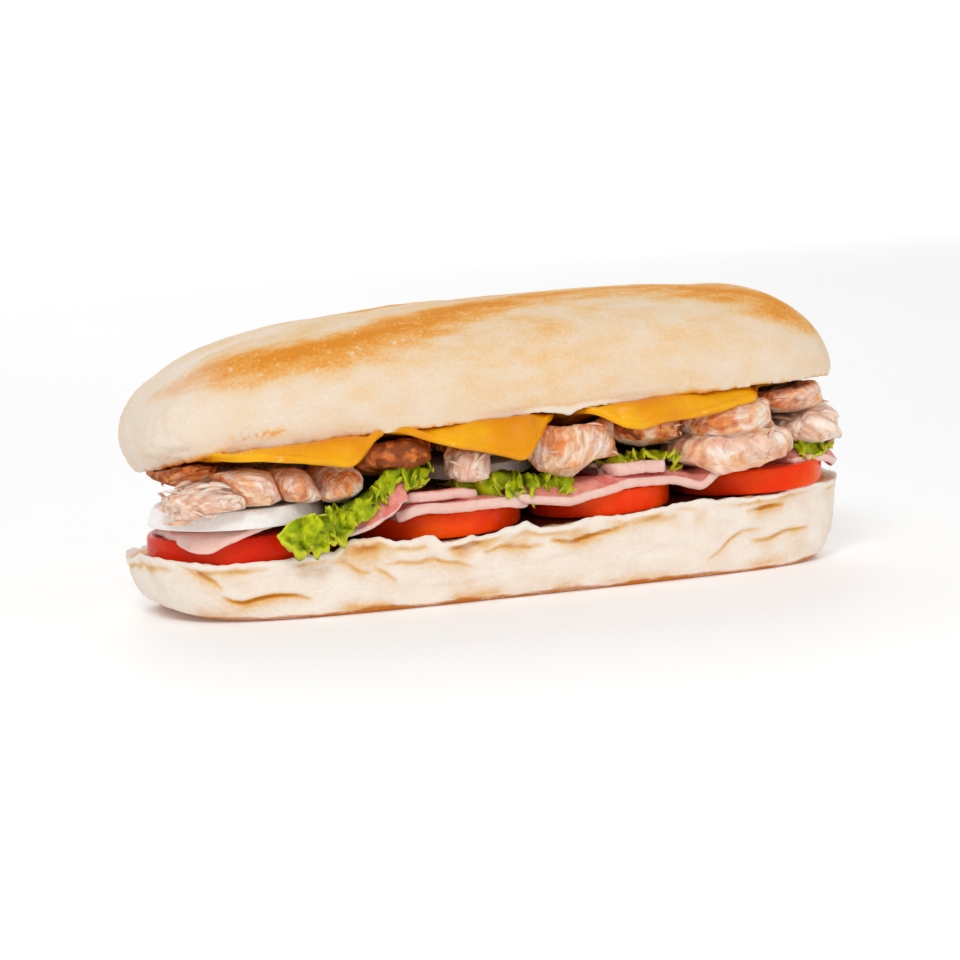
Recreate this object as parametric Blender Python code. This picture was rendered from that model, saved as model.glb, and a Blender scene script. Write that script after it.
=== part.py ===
"""Submarine sandwich: a soft long roll, cut right through and filled in layers.

From the bottom up: lower half of the roll, tomato slices, folded ham, frilled lettuce, onion
slices, chicken pieces, cheese slices that hang out at the front, and the upper half of the roll.

Frame, in metres: +X runs along the roll, -Y is the open side that is served to the front, +Z is
up. The origin is on the surface that the sandwich rests on, in the middle of its flat base.

The layers are laid in order. A Relief holds the height of everything laid so far, so each soft
layer is draped over what is under it and each piece of chicken fills the room that is left.
"""

import math
from collections import namedtuple

import bmesh
import bpy
import numpy as np
from mathutils import Matrix, Vector, noise
from mathutils.bvhtree import BVHTree

MM = 0.001
GAP = 0.35 * MM  # kept between pieces that touch

# Driving dimensions: the roll.
ROLL_LENGTH = 245 * MM
ROLL_WIDTH = 82 * MM
ROLL_SQUARENESS = 3.2  # exponent of its outline from above: 2 is an ellipse
HALF_LENGTH = ROLL_LENGTH / 2
HALF_WIDTH = ROLL_WIDTH / 2

# The lower half is cut aslant, so it is thicker at its right end.
LOWER_CUT_HEIGHT = 22 * MM  # at mid length
LOWER_CUT_SLOPE = 5 * MM / HALF_LENGTH
LOWER_LEFT_CURL = 22 * MM  # how far the base is drawn in under the left end
LOWER_RIGHT_CURL = 16 * MM
LOWER_SIDE_CURL = 5 * MM
LOWER_ROUNDING = 2.3  # exponent of that curl: 2 is a quarter of an ellipse

# The upper half is propped open by the filling: its cut face tips back and rises to the right.
UPPER_CUT_HEIGHT = 54.5 * MM
UPPER_CUT_SLOPE = 5 * MM / HALF_LENGTH
UPPER_CUT_TIP = 5 * MM / HALF_WIDTH
DROOP = 3.5 * MM  # how far the tip of its left end hangs below the rest of the cut
DROOP_START = 90 * MM  # from mid length
CREST_HEIGHT = 95 * MM
CREST_X = 35 * MM
CREST_SAG = 4.5 * MM  # fall of the crest at CREST_SAG_SPAN from CREST_X
CREST_SAG_SPAN = 100 * MM
CREST_DEPTH = 1 * MM  # y of the crest line

FOLD_FRONT = -39 * MM  # y where the cheese bends down over the front
FOLD_BACK = 39 * MM

MATERIALS = {  # base colour, roughness
    "bread": ((0.87, 0.71, 0.52), 0.75),
    "tomato": ((0.78, 0.07, 0.02), 0.3),
    "ham": ((0.83, 0.52, 0.48), 0.45),
    "lettuce": ((0.42, 0.56, 0.03), 0.4),
    "onion": ((0.86, 0.83, 0.76), 0.3),
    "chicken": ((0.75, 0.52, 0.38), 0.5),
    "cheese": ((0.9, 0.44, 0.02), 0.35),
}


# ---------------------------------------------------------------- meshes and materials

def material(name):
    """The named food's material, made once."""
    found = bpy.data.materials.get(name)
    if found:
        return found
    colour, roughness = MATERIALS[name]
    made = bpy.data.materials.new(name)
    made.use_nodes = True
    shader = made.node_tree.nodes["Principled BSDF"]
    shader.inputs["Base Color"].default_value = (*colour, 1.0)
    shader.inputs["Roughness"].default_value = roughness
    made.diffuse_color = (*colour, 1.0)
    return made


def add_object(name, food, points, faces):
    """One named piece from its points and faces, with outward normals."""
    mesh = bpy.data.meshes.new(name)
    mesh.from_pydata([tuple(map(float, p)) for p in points], [], faces)
    bm = bmesh.new()
    bm.from_mesh(mesh)
    bmesh.ops.recalc_face_normals(bm, faces=bm.faces)
    bmesh.ops.triangulate(bm, faces=bm.faces)
    bm.to_mesh(mesh)
    bm.free()
    if sum(f.center.dot(f.normal) * f.area for f in mesh.polygons) < 0:
        mesh.flip_normals()
    mesh.materials.append(material(food))
    mesh.shade_smooth()
    mesh.set_sharp_from_angle(angle=math.radians(40))
    made = bpy.data.objects.new(name, mesh)
    bpy.context.scene.collection.objects.link(made)
    return made


def cap(first, count):
    """Faces that close a ring of points, in strips from its front to its back."""
    half = count // 2
    faces = [[first, first + 1, first + count - 1]]
    for i in range(1, half - 1):
        faces.append([first + i, first + i + 1, first + count - i - 1, first + count - i])
    faces.append([first + half - 1, first + half, first + half + 1])
    return faces


def loft(rings):
    """Points and faces of a closed body through rings of equal length, from the lowest up."""
    count = len(rings[0])
    points = np.concatenate(rings)
    faces = cap(0, count)
    for level in range(len(rings) - 1):
        low, high = level * count, (level + 1) * count
        for i in range(count):
            j = (i + 1) % count
            faces.append([low + i, low + j, high + j, high + i])
    faces += cap(len(points) - count, count)
    return points, faces


def wobble(points, amount, scale, seed=0.0):
    """The points, pushed out or in from the Z axis by smooth noise, as no food is exact."""
    moved = points.copy()
    for p in moved:
        swing = noise.noise(Vector((p[0] / scale, p[1] / scale, p[2] / scale + seed)))
        p[:2] *= 1 + amount * swing
    return moved


# ---------------------------------------------------------------- relief of what is laid

class Relief:
    """Heights over a 1 mm grid. Laid from above it keeps the highest surface of the pieces given
    to it, and hung from below the lowest."""

    CELL = 1 * MM
    REACH_X = 140
    REACH_Y = 62
    FAR = 0.3

    def __init__(self, level, side):
        self.side = side  # +1 keeps tops, -1 keeps undersides
        self.z = np.full((2 * self.REACH_X + 1, 2 * self.REACH_Y + 1), level)

    def add(self, piece):
        mesh = piece.data
        points = [v.co for v in mesh.vertices]
        tree = BVHTree.FromPolygons(points, [tuple(f.vertices) for f in mesh.polygons])
        flat = np.array([p[:2] for p in points]) / self.CELL
        low = np.floor(flat.min(0)).astype(int)
        high = np.ceil(flat.max(0)).astype(int)
        start, down = self.FAR * self.side, Vector((0, 0, -self.side))
        for i in range(low[0], high[0] + 1):
            for j in range(low[1], high[1] + 1):
                origin = Vector((i * self.CELL, j * self.CELL, start))
                hit = tree.ray_cast(origin, down)[0]
                if hit:
                    cell = (i + self.REACH_X, j + self.REACH_Y)
                    self.z[cell] = self.side * max(
                        self.side * self.z[cell], self.side * hit.z
                    )

    def spread(self, slope, steps):
        """The relief widened by steps cells, falling away from each height at the slope."""
        z = self.side * self.z
        fall = slope * self.CELL
        for _ in range(steps):
            padded = np.pad(z, 1, mode="edge")
            rows, columns = z.shape
            for di in range(3):
                for dj in range(3):
                    far = math.hypot(di - 1, dj - 1)
                    shifted = padded[di : di + rows, dj : dj + columns]
                    z = np.maximum(z, shifted - fall * far)
        return self.side * z

    @staticmethod
    def smoothed(z, passes):
        for _ in range(passes):
            padded = np.pad(z, 1, mode="edge")
            z = (
                padded[:-2, 1:-1]
                + padded[2:, 1:-1]
                + padded[1:-1, :-2]
                + padded[1:-1, 2:]
                + 4 * z
            ) / 8
        return z

    @classmethod
    def sample(cls, z, x, y):
        """Heights of the field z at points, each between its four cells."""
        fx = np.clip(np.asarray(x) / cls.CELL + cls.REACH_X, 0, 2 * cls.REACH_X - 1e-6)
        fy = np.clip(np.asarray(y) / cls.CELL + cls.REACH_Y, 0, 2 * cls.REACH_Y - 1e-6)
        i, j = fx.astype(int), fy.astype(int)
        a, b = fx - i, fy - j
        near = z[i, j] * (1 - a) + z[i + 1, j] * a
        far = z[i, j + 1] * (1 - a) + z[i + 1, j + 1] * a
        return near * (1 - b) + far * b


# ---------------------------------------------------------------- the roll

def roll_outline(left, right, half_width, squareness=ROLL_SQUARENESS, count=48, dense=720):
    """The roll's outline from above, (x, y) points at equal steps: a squared ellipse whose two
    ends may reach out differently."""
    angle = np.linspace(0, 2 * math.pi, dense + 1)
    power = 2 / squareness
    x = np.sign(np.cos(angle)) * np.abs(np.cos(angle)) ** power
    y = np.sign(np.sin(angle)) * np.abs(np.sin(angle)) ** power
    x *= np.where(x > 0, right, left)
    y *= half_width
    length = np.concatenate([[0], np.cumsum(np.hypot(np.diff(x), np.diff(y)))])
    steps = np.linspace(0, length[-1], count + 1)[:-1]
    return np.column_stack([np.interp(steps, length, x), np.interp(steps, length, y)])


def lower_cut(x):
    return LOWER_CUT_HEIGHT + LOWER_CUT_SLOPE * x


def upper_cut(x, y):
    past = np.maximum(0, (-x - DROOP_START) / (HALF_LENGTH - DROOP_START))
    return UPPER_CUT_HEIGHT + UPPER_CUT_SLOPE * x - UPPER_CUT_TIP * y - DROOP * past**2


def crest(x):
    return CREST_HEIGHT - CREST_SAG * ((x - CREST_X) / CREST_SAG_SPAN) ** 2


def lower_roll():
    """The lower half: a flat base, sides that round in to it, and the slanted cut on top."""
    rings = []
    for level in (0, 0.04, 0.12, 0.27, 0.5, 0.75, 1.0):
        fullness = (1 - (1 - level) ** LOWER_ROUNDING) ** (1 / LOWER_ROUNDING)
        drawn_in = 1 - fullness
        outline = roll_outline(
            HALF_LENGTH - LOWER_LEFT_CURL * drawn_in,
            HALF_LENGTH - LOWER_RIGHT_CURL * drawn_in,
            HALF_WIDTH - LOWER_SIDE_CURL * drawn_in,
            ROLL_SQUARENESS + 1.6 * drawn_in,
        )
        z = level * lower_cut(outline[:, 0])
        rings.append(wobble(np.column_stack([outline, z]), 0.02, 28 * MM, seed=3.1))
    return add_object("roll_lower", "bread", *loft(rings))


def end_reach(level, widest, undercut, rounding):
    """How far an end reaches out at a level from 0, the cut, to 1, the crest."""
    if level < widest:
        return HALF_LENGTH - undercut * ((widest - level) / widest) ** 2
    rise = (level - widest) / (1 - widest)
    return HALF_LENGTH - rounding * (1 - math.sqrt(1 - rise**2))


def upper_roll():
    """The upper half: the tipped cut face below and a dome above it, blunt at the right end and
    drawn out at the left."""
    side_widest, side_undercut, side_power = 0.2, 0.8 * MM, 2.5
    rings = []
    for level in (0, 0.1, 0.25, 0.45, 0.65, 0.81, 0.92, 0.975, 0.995):
        if level < side_widest:
            inset = ((side_widest - level) / side_widest) ** 2
            half_width = HALF_WIDTH + 1 * MM - side_undercut * inset
        else:
            rise = (level - side_widest) / (1 - side_widest)
            half_width = (HALF_WIDTH + 1 * MM) * (1 - rise**side_power) ** (1 / side_power)
        outline = roll_outline(
            end_reach(level, widest=0.3, undercut=3.5 * MM, rounding=52 * MM),
            end_reach(level, widest=0.08, undercut=1 * MM, rounding=38 * MM),
            half_width,
        )
        outline[:, 1] += CREST_DEPTH * level
        x, y = outline.T
        cut = upper_cut(x, y)
        z = cut + (crest(x) - cut) * level
        rings.append(wobble(np.column_stack([x, y, z]), 0.02, 30 * MM, seed=7.7))
    rings[0][:, 2] = upper_cut(rings[0][:, 0], rings[0][:, 1])  # the cut stays flat
    return add_object("roll_upper", "bread", *loft(rings))


# ---------------------------------------------------------------- round slices

Round = namedtuple("Round", "name food x y radius taper thickness slope tip seed")
# radius is that of the underside and taper how much smaller the top is. slope is the rise of the
# slice to the right, and tip its rise to the back.

TOMATOES = [
    Round("tomato_slice_1", "tomato", -86 * MM, -9 * MM, 29.5 * MM, 0, 8.4 * MM,
        LOWER_CUT_SLOPE, 0, 1),
    Round("tomato_slice_2", "tomato", -23 * MM, -10.5 * MM, 27.4 * MM, 0, 8.4 * MM,
        LOWER_CUT_SLOPE, 0, 2),
    Round("tomato_slice_3", "tomato", 32.5 * MM, -14 * MM, 23.8 * MM, 0, 8.2 * MM,
        LOWER_CUT_SLOPE, 0, 3),
    Round("tomato_slice_4", "tomato", 89 * MM, -12.5 * MM, 25.3 * MM, 0, 8 * MM,
        LOWER_CUT_SLOPE, 0, 4),
]
ONIONS = [
    Round("onion_slice_1", "onion", -91.5 * MM, -9.5 * MM, 30.2 * MM, 4 * MM, 5.8 * MM,
        0.015, 0, 5),
    Round("onion_slice_2", "onion", -10 * MM, -8 * MM, 21.5 * MM, 1 * MM, 4.2 * MM,
        LOWER_CUT_SLOPE, 0.1, 6),
]


def round_slice(piece, floor, count=24):
    """A slice of a round vegetable, lying on the highest points under it. Its rim is rounded and
    its outline a little lobed."""
    angle = np.linspace(0, 2 * math.pi, count, endpoint=False)
    lobes = 1 + 0.012 * np.cos(3 * angle + piece.seed) + 0.008 * np.cos(5 * angle)
    centre = np.array([piece.x, piece.y])
    flat = np.column_stack([np.cos(angle), np.sin(angle)]) * lobes[:, None]
    under = [
        Relief.sample(floor, x, y) - piece.slope * x - piece.tip * y
        for part in np.linspace(0.1, 1, 12)
        for x, y in flat * piece.radius * part + centre
    ]
    base = max(under) + GAP
    rings = []
    for height, inset in ((0, 1.2), (0.3, 0.1), (0.7, 0.1), (1, 1.2)):
        ring = flat * (piece.radius - piece.taper * height - inset * MM) + centre
        z = base + ring @ (piece.slope, piece.tip) + height * piece.thickness
        rings.append(np.column_stack([ring, z]))
    return add_object(piece.name, piece.food, *loft(rings))


# ---------------------------------------------------------------- draped sheets

def grid_normals(grid):
    """Unit normals of a grid of points, all facing up."""
    normal = np.cross(np.gradient(grid, axis=1), np.gradient(grid, axis=0))
    normal /= np.linalg.norm(normal, axis=2)[:, :, None]
    return normal * np.sign(normal[:, :, 2:3])


def heights_in_cells(z, a, b):
    """Heights at the place (a, b) inside every cell of a grid, for the lower and the higher of
    the two ways in which a cell can be split into triangles."""
    low_low, high_low, low_high, high_high = z[:-1, :-1], z[1:, :-1], z[:-1, 1:], z[1:, 1:]
    if a >= b:
        first = low_low * (1 - a) + high_low * (a - b) + high_high * b
    else:
        first = low_low * (1 - b) + low_high * (b - a) + high_high * a
    if a + b <= 1:
        second = low_low * (1 - a - b) + high_low * a + low_high * b
    else:
        second = high_high * (a + b - 1) + high_low * (1 - b) + low_high * (1 - a)
    return np.minimum(first, second), np.maximum(first, second)


def moved_clear(grid, relief, passes=24, samples=5):
    """The grid of points, raised (or lowered, under a ceiling) little by little until every cell
    of it is clear of the relief."""
    side = relief.side
    field = relief.spread(0.0, 1)
    grid = grid.copy()
    places = (np.arange(samples + 1) / samples).tolist()
    for step in range(passes):
        push = np.zeros(grid.shape[:2])
        for a in places:
            for b in places:
                x = heights_in_cells(grid[:, :, 0], a, b)[0]
                y = heights_in_cells(grid[:, :, 1], a, b)[0]
                low, high = heights_in_cells(grid[:, :, 2], a, b)
                nearest = low if side > 0 else high
                lacking = side * (Relief.sample(field, x, y) - nearest) + GAP
                lacking = np.maximum(0, lacking)
                for i in (0, 1):
                    for j in (0, 1):
                        part = push[i : i + lacking.shape[0], j : j + lacking.shape[1]]
                        share = (a if i else 1 - a) * (b if j else 1 - b)
                        strength = 1 if step == passes - 1 else 0.7 * share**0.5
                        np.maximum(part, lacking * strength, out=part)
        grid[:, :, 2] += side * push
    return grid


def sheet_solid(name, food, surface, thickness, side=1):
    """A closed sheet: a grid of points, and the same grid moved along its normals, up from the
    surface or down from it."""
    rows, columns = surface.shape[:2]
    far_side = surface + side * grid_normals(surface) * thickness[:, :, None]
    points = np.concatenate([surface.reshape(-1, 3), far_side.reshape(-1, 3)])
    top = rows * columns

    def at(r, c):
        return r * columns + c

    faces = []
    for r in range(rows - 1):
        for c in range(columns - 1):
            quad = [at(r, c), at(r, c + 1), at(r + 1, c + 1), at(r + 1, c)]
            faces.append(quad[::-1])
            faces.append([i + top for i in quad])
    edge = [at(0, c) for c in range(columns)]
    edge += [at(r, columns - 1) for r in range(1, rows)]
    edge += [at(rows - 1, c) for c in range(columns - 2, -1, -1)]
    edge += [at(r, 0) for r in range(rows - 2, 0, -1)]
    for i, j in zip(edge, edge[1:] + edge[:1]):
        faces.append([i, j, j + top, i + top])
    return add_object(name, food, points, faces)


# The front edge of each draped sheet is a line of (x, y, z) in millimetres, from left to right:
# z is the height of its lower face there, so the edge of a sheet may hang or stand up.
HAM_THICKNESS = 1.4 * MM  # away from the front edge
Ham = namedtuple("Ham", "name front back lean thickness bulk")
# back is the y of the back edge, lean how far its left edge turns right behind the front,
# thickness that of the front edge, and bulk the (x, spread, height) of the folds behind it.
HAMS = [
    Ham("ham_slice_1", [(-115, -26, 25), (-108.5, -32, 22.5), (-98, -37, 27), (-88, -39, 28.5)],
        14, 0, 1.2, (-95, 20, 0)),
    Ham("ham_slice_2", [(-45, -34, 26.6), (-38, -39, 29.5), (-28, -41, 30.3), (-12, -41.5, 29.8),
        (-3, -40, 28.3)], 34, 0, 2.8, (-25, 15, 0)),
    Ham("ham_slice_3", [(-11, -41, 29.6), (-1, -42, 28.2), (12, -42, 29.6), (28.5, -40, 30.5),
        (47, -38.5, 31.7), (62, -40, 29.5), (75.5, -38, 32.6), (84, -34, 34.5)], 37, 0, 3, (30, 20, 0)),
    Ham("ham_slice_4", [(-43, -36, 34.5), (-32, -39.5, 34), (-19, -37, 33)], 12, 0, 2.2, (-30, 8, 1)),
    Ham("ham_slice_5", [(-67, -38, 26.5), (-57, -41, 29.5), (-50, -42, 32), (-40, -37, 35.5)],
        35, 8, 2, (-47, 7, 2.5)),
    Ham("ham_slice_6", [(24.6, -38, 36.2), (36, -40.5, 36), (50.5, -38.5, 36.4)], 12, 0, 2.6, (38, 9, 1)),
    Ham("ham_slice_7", [(92, -35, 35.4), (104, -31, 34), (112, -28, 32.7), (120, -21, 33)],
        30, 0, 1.8, (100, 12, 0)),
]


def front_edge(front, u):
    """The point at the fraction u along the front line, in steps of x."""
    x, y, z = np.array(front).T * MM
    here = x[0] + (x[-1] - x[0]) * u
    return np.array([here, np.interp(here, x, y), np.interp(here, x, z)])


def ham_slice(ham, relief, columns=9):
    """A ham slice from its front edge to the back, draped over the relief."""
    settled = Relief.smoothed(relief.spread(0.7, 14), 3)
    rows = np.array([0, 0.05, 0.12, 0.26, 0.48, 0.66, 0.8, 0.92, 1.0])
    lower = np.zeros((len(rows), columns, 3))
    thickness = np.zeros((len(rows), columns))
    middle, spread, height = (v * MM for v in ham.bulk)
    for c, u in enumerate(np.linspace(0, 1, columns)):
        x, edge, hanging = front_edge(ham.front, u)
        round_off = abs(2 * u - 1) ** 5
        back_edge = ham.back * MM - 8 * MM * round_off + 2 * MM * math.sin(5 * u + ham.back)
        for r, v in enumerate(rows):
            y = edge + (back_edge - edge) * v
            near_edge = math.exp(-((v / 0.1) ** 2))
            across = x + ham.lean * MM * (1 - u) * (1 - near_edge)
            drape = Relief.sample(settled, across, y) + GAP
            lower[r, c] = (across, y, drape + (hanging - drape) * near_edge)
            fold = math.exp(-(((x - middle) / spread) ** 2) - ((v - 0.12) / 0.2) ** 2)
            edge_thickness = (ham.thickness * MM - HAM_THICKNESS) * near_edge
            thickness[r, c] = HAM_THICKNESS + edge_thickness + height * fold
    return sheet_solid(ham.name, "ham", moved_clear(lower, relief), thickness)


LETTUCE_THICKNESS = 0.8 * MM
Leaf = namedtuple("Leaf", "name front back lean waves depth")
# waves counts the frills of the front edge, and depth is how high they swing.
LEAVES = [
    Leaf("lettuce_leaf_1", [(-88, -42, 28), (-84, -45, 24), (-77, -45, 23.5), (-66, -43, 28),
        (-58, -42, 33), (-50, -40, 36), (-42, -38, 39), (-33, -34, 41)], 42, 26, 6, 2.2),
    Leaf("lettuce_leaf_2", [(-22, -37, 36.5), (-15, -40, 34), (-8, -42, 31.5), (4, -41.5, 34.5),
        (15, -38, 32.5)], 40, 0, 4, 2.0),
    Leaf("lettuce_leaf_3", [(27, -37, 39.5), (34, -39, 41.5), (46, -39, 42), (54, -38, 38.5)],
        41, 0, 3, 2.6),
    Leaf("lettuce_leaf_4", [(94, -34, 38), (106, -32, 36.5), (118, -23, 37.5)], 38, 0, 3, 2.6),
]


def lettuce_leaf(leaf, relief):
    """A lettuce leaf from front to back, flat inside and frilled along both of its edges."""
    settled = Relief.smoothed(relief.spread(0.9, 14), 2)
    rows = np.array([0, 0.03, 0.06, 0.2, 0.42, 0.65, 0.87, 1.0])
    columns = leaf.waves * 3 + 1
    lower = np.zeros((len(rows), columns, 3))
    for c, u in enumerate(np.linspace(0, 1, columns)):
        x, edge, hanging = front_edge(leaf.front, u)
        wave = 2 * math.pi * leaf.waves * u
        for r, v in enumerate(rows):
            frill = max(0.0, 1 - v / 0.06, (v - 0.87) / 0.13)
            y = edge + (leaf.back * MM - edge) * v + 1.2 * MM * frill * math.cos(wave)
            across = x + 0.8 * MM * frill * math.sin(wave + 0.6)
            across += leaf.lean * MM * (1 - u) * (1 - math.exp(-((v / 0.06) ** 2)))
            drape = Relief.sample(settled, across, y) + GAP
            z = drape + (hanging - drape) * math.exp(-((v / 0.09) ** 2))
            z += leaf.depth * MM * frill * (0.5 + 0.5 * math.sin(wave + 0.6))
            lower[r, c] = (across, y, z)
    lower = moved_clear(lower, relief)
    thickness = np.full(lower.shape[:2], LETTUCE_THICKNESS)
    return sheet_solid(leaf.name, "lettuce", lower, thickness)


Cheese = namedtuple("Cheese", "name corners drop")
# corners of the slice laid flat, in millimetres, the front one first and then counterclockwise.
# drop is the angle at which what reaches past the roll hangs.
CHEESE_THICKNESS = 2.3 * MM
CHEESES = [
    Cheese("cheese_slice_2", [(-6, -57), (39, 8), (-27, 50), (-80, -27)], 62),
    Cheese("cheese_slice_1", [(-64, -52), (-25, -18), (-66, 38), (-111, -37)], 50),
    Cheese("cheese_slice_3", [(30.5, -53), (103, -34), (80, 42), (-4, -20)], 52),
]


def fold_over(y, drop):
    """(y, fall) of a point of a flat slice once what lies past the fold lines has bent down."""
    fold = FOLD_FRONT if y < 0 else FOLD_BACK
    past = abs(y) - abs(fold)
    if past <= 0:
        return y, 0.0
    bend = 5 * MM  # the length over which it turns down
    steps = 12
    out, fall = 0.0, 0.0
    for k in range(steps):
        angle = math.radians(drop) * min(1.0, past * (k + 0.5) / steps / bend)
        out += math.cos(angle) * past / steps
        fall += math.sin(angle) * past / steps
    return fold + math.copysign(out, y), fall


def cheese_slice(cheese, ceiling, cells=9):
    """A cheese slice pressed flat under the roll, with its overhanging corners bent down."""
    a, b, c, d = (np.array(p) * MM for p in cheese.corners)
    upper = np.zeros((cells, cells, 3))
    for r, v in enumerate(np.linspace(0, 1, cells)):
        for k, u in enumerate(np.linspace(0, 1, cells)):
            flat = (a * (1 - u) + b * u) * (1 - v) + (d * (1 - u) + c * u) * v
            x = flat[0]
            y, fall = fold_over(flat[1], cheese.drop)
            under_roll = upper_cut(x, min(max(y, FOLD_FRONT), FOLD_BACK)) - fall
            upper[r, k] = (x, y, under_roll - GAP)
    upper = moved_clear(upper, ceiling)
    thickness = np.full((cells, cells), CHEESE_THICKNESS)
    return sheet_solid(cheese.name, "cheese", upper, thickness, side=-1)


# ---------------------------------------------------------------- chicken

Chunk = namedtuple("Chunk", "name centre half turn seed")


def front_chunks():
    """The pieces that show at the front, placed one by one: centre and half size in
    millimetres, and the turn about Z in degrees."""
    placed = [
        ((-108, -17, 48.5), (11, 17, 5.5), 10),
        ((-107, -26, 40), (12.5, 14, 5.5), -8),
        ((-95, -24, 44.5), (10.8, 16, 7), 4),
        ((-78, -25, 43), (7, 15, 7), -6),
        ((-65, -26, 42.5), (7.5, 14, 6), 10),
        ((-45, -21, 48), (14.5, 17, 6), -4),
        ((-21, -33, 43.5), (6, 8, 6.5), 15),
        ((-12, -20, 50.5), (14, 16, 6), 0),
        ((15, -26, 47), (16, 16, 12), 8),
        ((44.5, -23, 50.5), (12, 15, 6), -8),
        ((73, -26, 52), (16, 15, 6.5), 6),
        ((74, -27, 40), (21.5, 15, 7), -3),
        ((101, -15, 56), (12.5, 17, 6), -14),
        ((108, -14, 45.5), (13, 18, 6.5), -16),
    ]
    return [
        Chunk(f"chicken_piece_{i:02d}", Vector(c) * MM, Vector(h) * MM, turn, i)
        for i, (c, h, turn) in enumerate(placed, start=1)
    ]


def back_chunks(first):
    """The row of pieces along the back, in even steps with a little unevenness."""
    count, left, right = 8, -97 * MM, 97 * MM
    row = []
    for i in range(count):
        x = left + (right - left) * i / (count - 1)
        uneven = noise.noise(Vector((i * 1.7, 2.3, 0.4)))
        centre = Vector((x, (19 + 3 * uneven) * MM, upper_cut(x, 20 * MM) - 11 * MM))
        half = Vector((15.5 + 2 * uneven, 21.0, 14.0)) * MM
        row.append(Chunk(f"chicken_piece_{first + i:02d}", centre, half, 14 * uneven, 40 + i))
    return row


def chunk_mesh(chunk, floor, roof):
    """A boxy lump of chicken, pressed flat where it would reach into the layers."""
    bm = bmesh.new()
    bmesh.ops.create_icosphere(bm, subdivisions=2, radius=1)
    turn = Matrix.Rotation(math.radians(chunk.turn), 3, "Z")
    boxiness = 3.0
    for v in bm.verts:
        n = v.co.normalized()
        radius = sum(abs(k) ** boxiness for k in n) ** (-1 / boxiness)
        lump = 1 + 0.16 * noise.noise(n * 1.6 + Vector((chunk.seed * 3.7, 0, 0)))
        local = Vector(a * b for a, b in zip(n * radius * lump, chunk.half))
        v.co = chunk.centre + turn @ local
    faces = [[v.index for v in f.verts] for f in bm.faces]
    points = pressed([v.co.copy() for v in bm.verts], faces, floor, roof)
    for v, p in zip(bm.verts, points):
        v.co = p
    return bm


def pressed(points, faces, floor, roof, passes=6, samples=5):
    """The points of a lump, with all that would reach into the layers pressed back between the
    fields floor and roof."""
    points = np.array(points)
    faces = np.array(faces)
    for _ in range(passes):
        corners = points[faces]
        lowest = np.full(len(points), -np.inf)
        highest = np.full(len(points), np.inf)
        for i in range(samples + 1):
            for j in range(samples + 1 - i):
                weights = np.array([i, j, samples - i - j]) / samples
                spot = np.einsum("k,fkd->fd", weights, corners)
                bottom = Relief.sample(floor, spot[:, 0], spot[:, 1]) + GAP
                top = Relief.sample(roof, spot[:, 0], spot[:, 1]) - GAP
                sunk, risen = spot[:, 2] < bottom, spot[:, 2] > top
                for k in np.flatnonzero(weights > 0):
                    np.maximum.at(lowest, faces[sunk, k], bottom[sunk])
                    np.minimum.at(highest, faces[risen, k], top[risen])
        points[:, 2] = np.minimum(np.maximum(points[:, 2], lowest), highest)
    return points


def reach_towards(chunk, direction):
    """How far the lump reaches from its centre in a direction."""
    turn = Matrix.Rotation(-math.radians(chunk.turn), 3, "Z")
    local = turn @ direction
    return math.sqrt(sum((a * b) ** 2 for a, b in zip(local, chunk.half)))


def part_from(bm, chunk, other):
    """Cuts the lump flat where its neighbour presses against it."""
    apart = other.centre - chunk.centre
    direction = apart.normalized()
    mine, theirs = reach_towards(chunk, direction), reach_towards(other, direction)
    room = 1.25  # lumps are fuller than the ellipsoid that reach_towards measures
    if apart.length > room * (mine + theirs):
        return
    contact = chunk.centre + apart * mine / (mine + theirs) - direction * GAP / 2
    geometry = bm.verts[:] + bm.edges[:] + bm.faces[:]
    bmesh.ops.bisect_plane(
        bm, geom=geometry, plane_co=contact, plane_no=direction, clear_outer=True
    )
    open_edges = [e for e in bm.edges if e.is_boundary]
    if open_edges:
        bmesh.ops.holes_fill(bm, edges=open_edges, sides=0)


def chicken(floor_relief, ceiling_relief):
    """All the chicken pieces, each cut flat against its neighbours."""
    floor = floor_relief.spread(0.0, 1)
    roof = ceiling_relief.spread(0.0, 1)
    front = front_chunks()
    chunks = front + back_chunks(first=len(front) + 1)
    for chunk in chunks:
        bm = chunk_mesh(chunk, floor, roof)
        for other in chunks:
            if other is not chunk:
                part_from(bm, chunk, other)
        bmesh.ops.remove_doubles(bm, verts=bm.verts, dist=0.02 * MM)
        bmesh.ops.triangulate(bm, faces=bm.faces)
        bmesh.ops.recalc_face_normals(bm, faces=bm.faces)
        points = [v.co.copy() for v in bm.verts]
        faces = [[v.index for v in f.verts] for f in bm.faces]
        bm.free()
        add_object(chunk.name, "chicken", points, faces)


# ---------------------------------------------------------------- the sandwich

def build():
    for old in list(bpy.data.objects):
        bpy.data.objects.remove(old)
    stack = Relief(0.0, side=1)
    stack.add(lower_roll())
    bread = stack.z.copy()
    for piece in TOMATOES:
        stack.add(round_slice(piece, bread))
    for ham in HAMS:
        stack.add(ham_slice(ham, stack))
    first_leaf, *other_leaves = LEAVES
    stack.add(lettuce_leaf(first_leaf, stack))
    for leaf in other_leaves:
        stack.add(lettuce_leaf(leaf, stack))
    for piece in ONIONS:
        stack.add(round_slice(piece, stack.spread(0.0, 1)))
    ceiling = Relief(Relief.FAR, side=-1)
    ceiling.add(upper_roll())
    for cheese in CHEESES:
        ceiling.add(cheese_slice(cheese, ceiling))
    chicken(stack, ceiling)


build()
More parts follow.
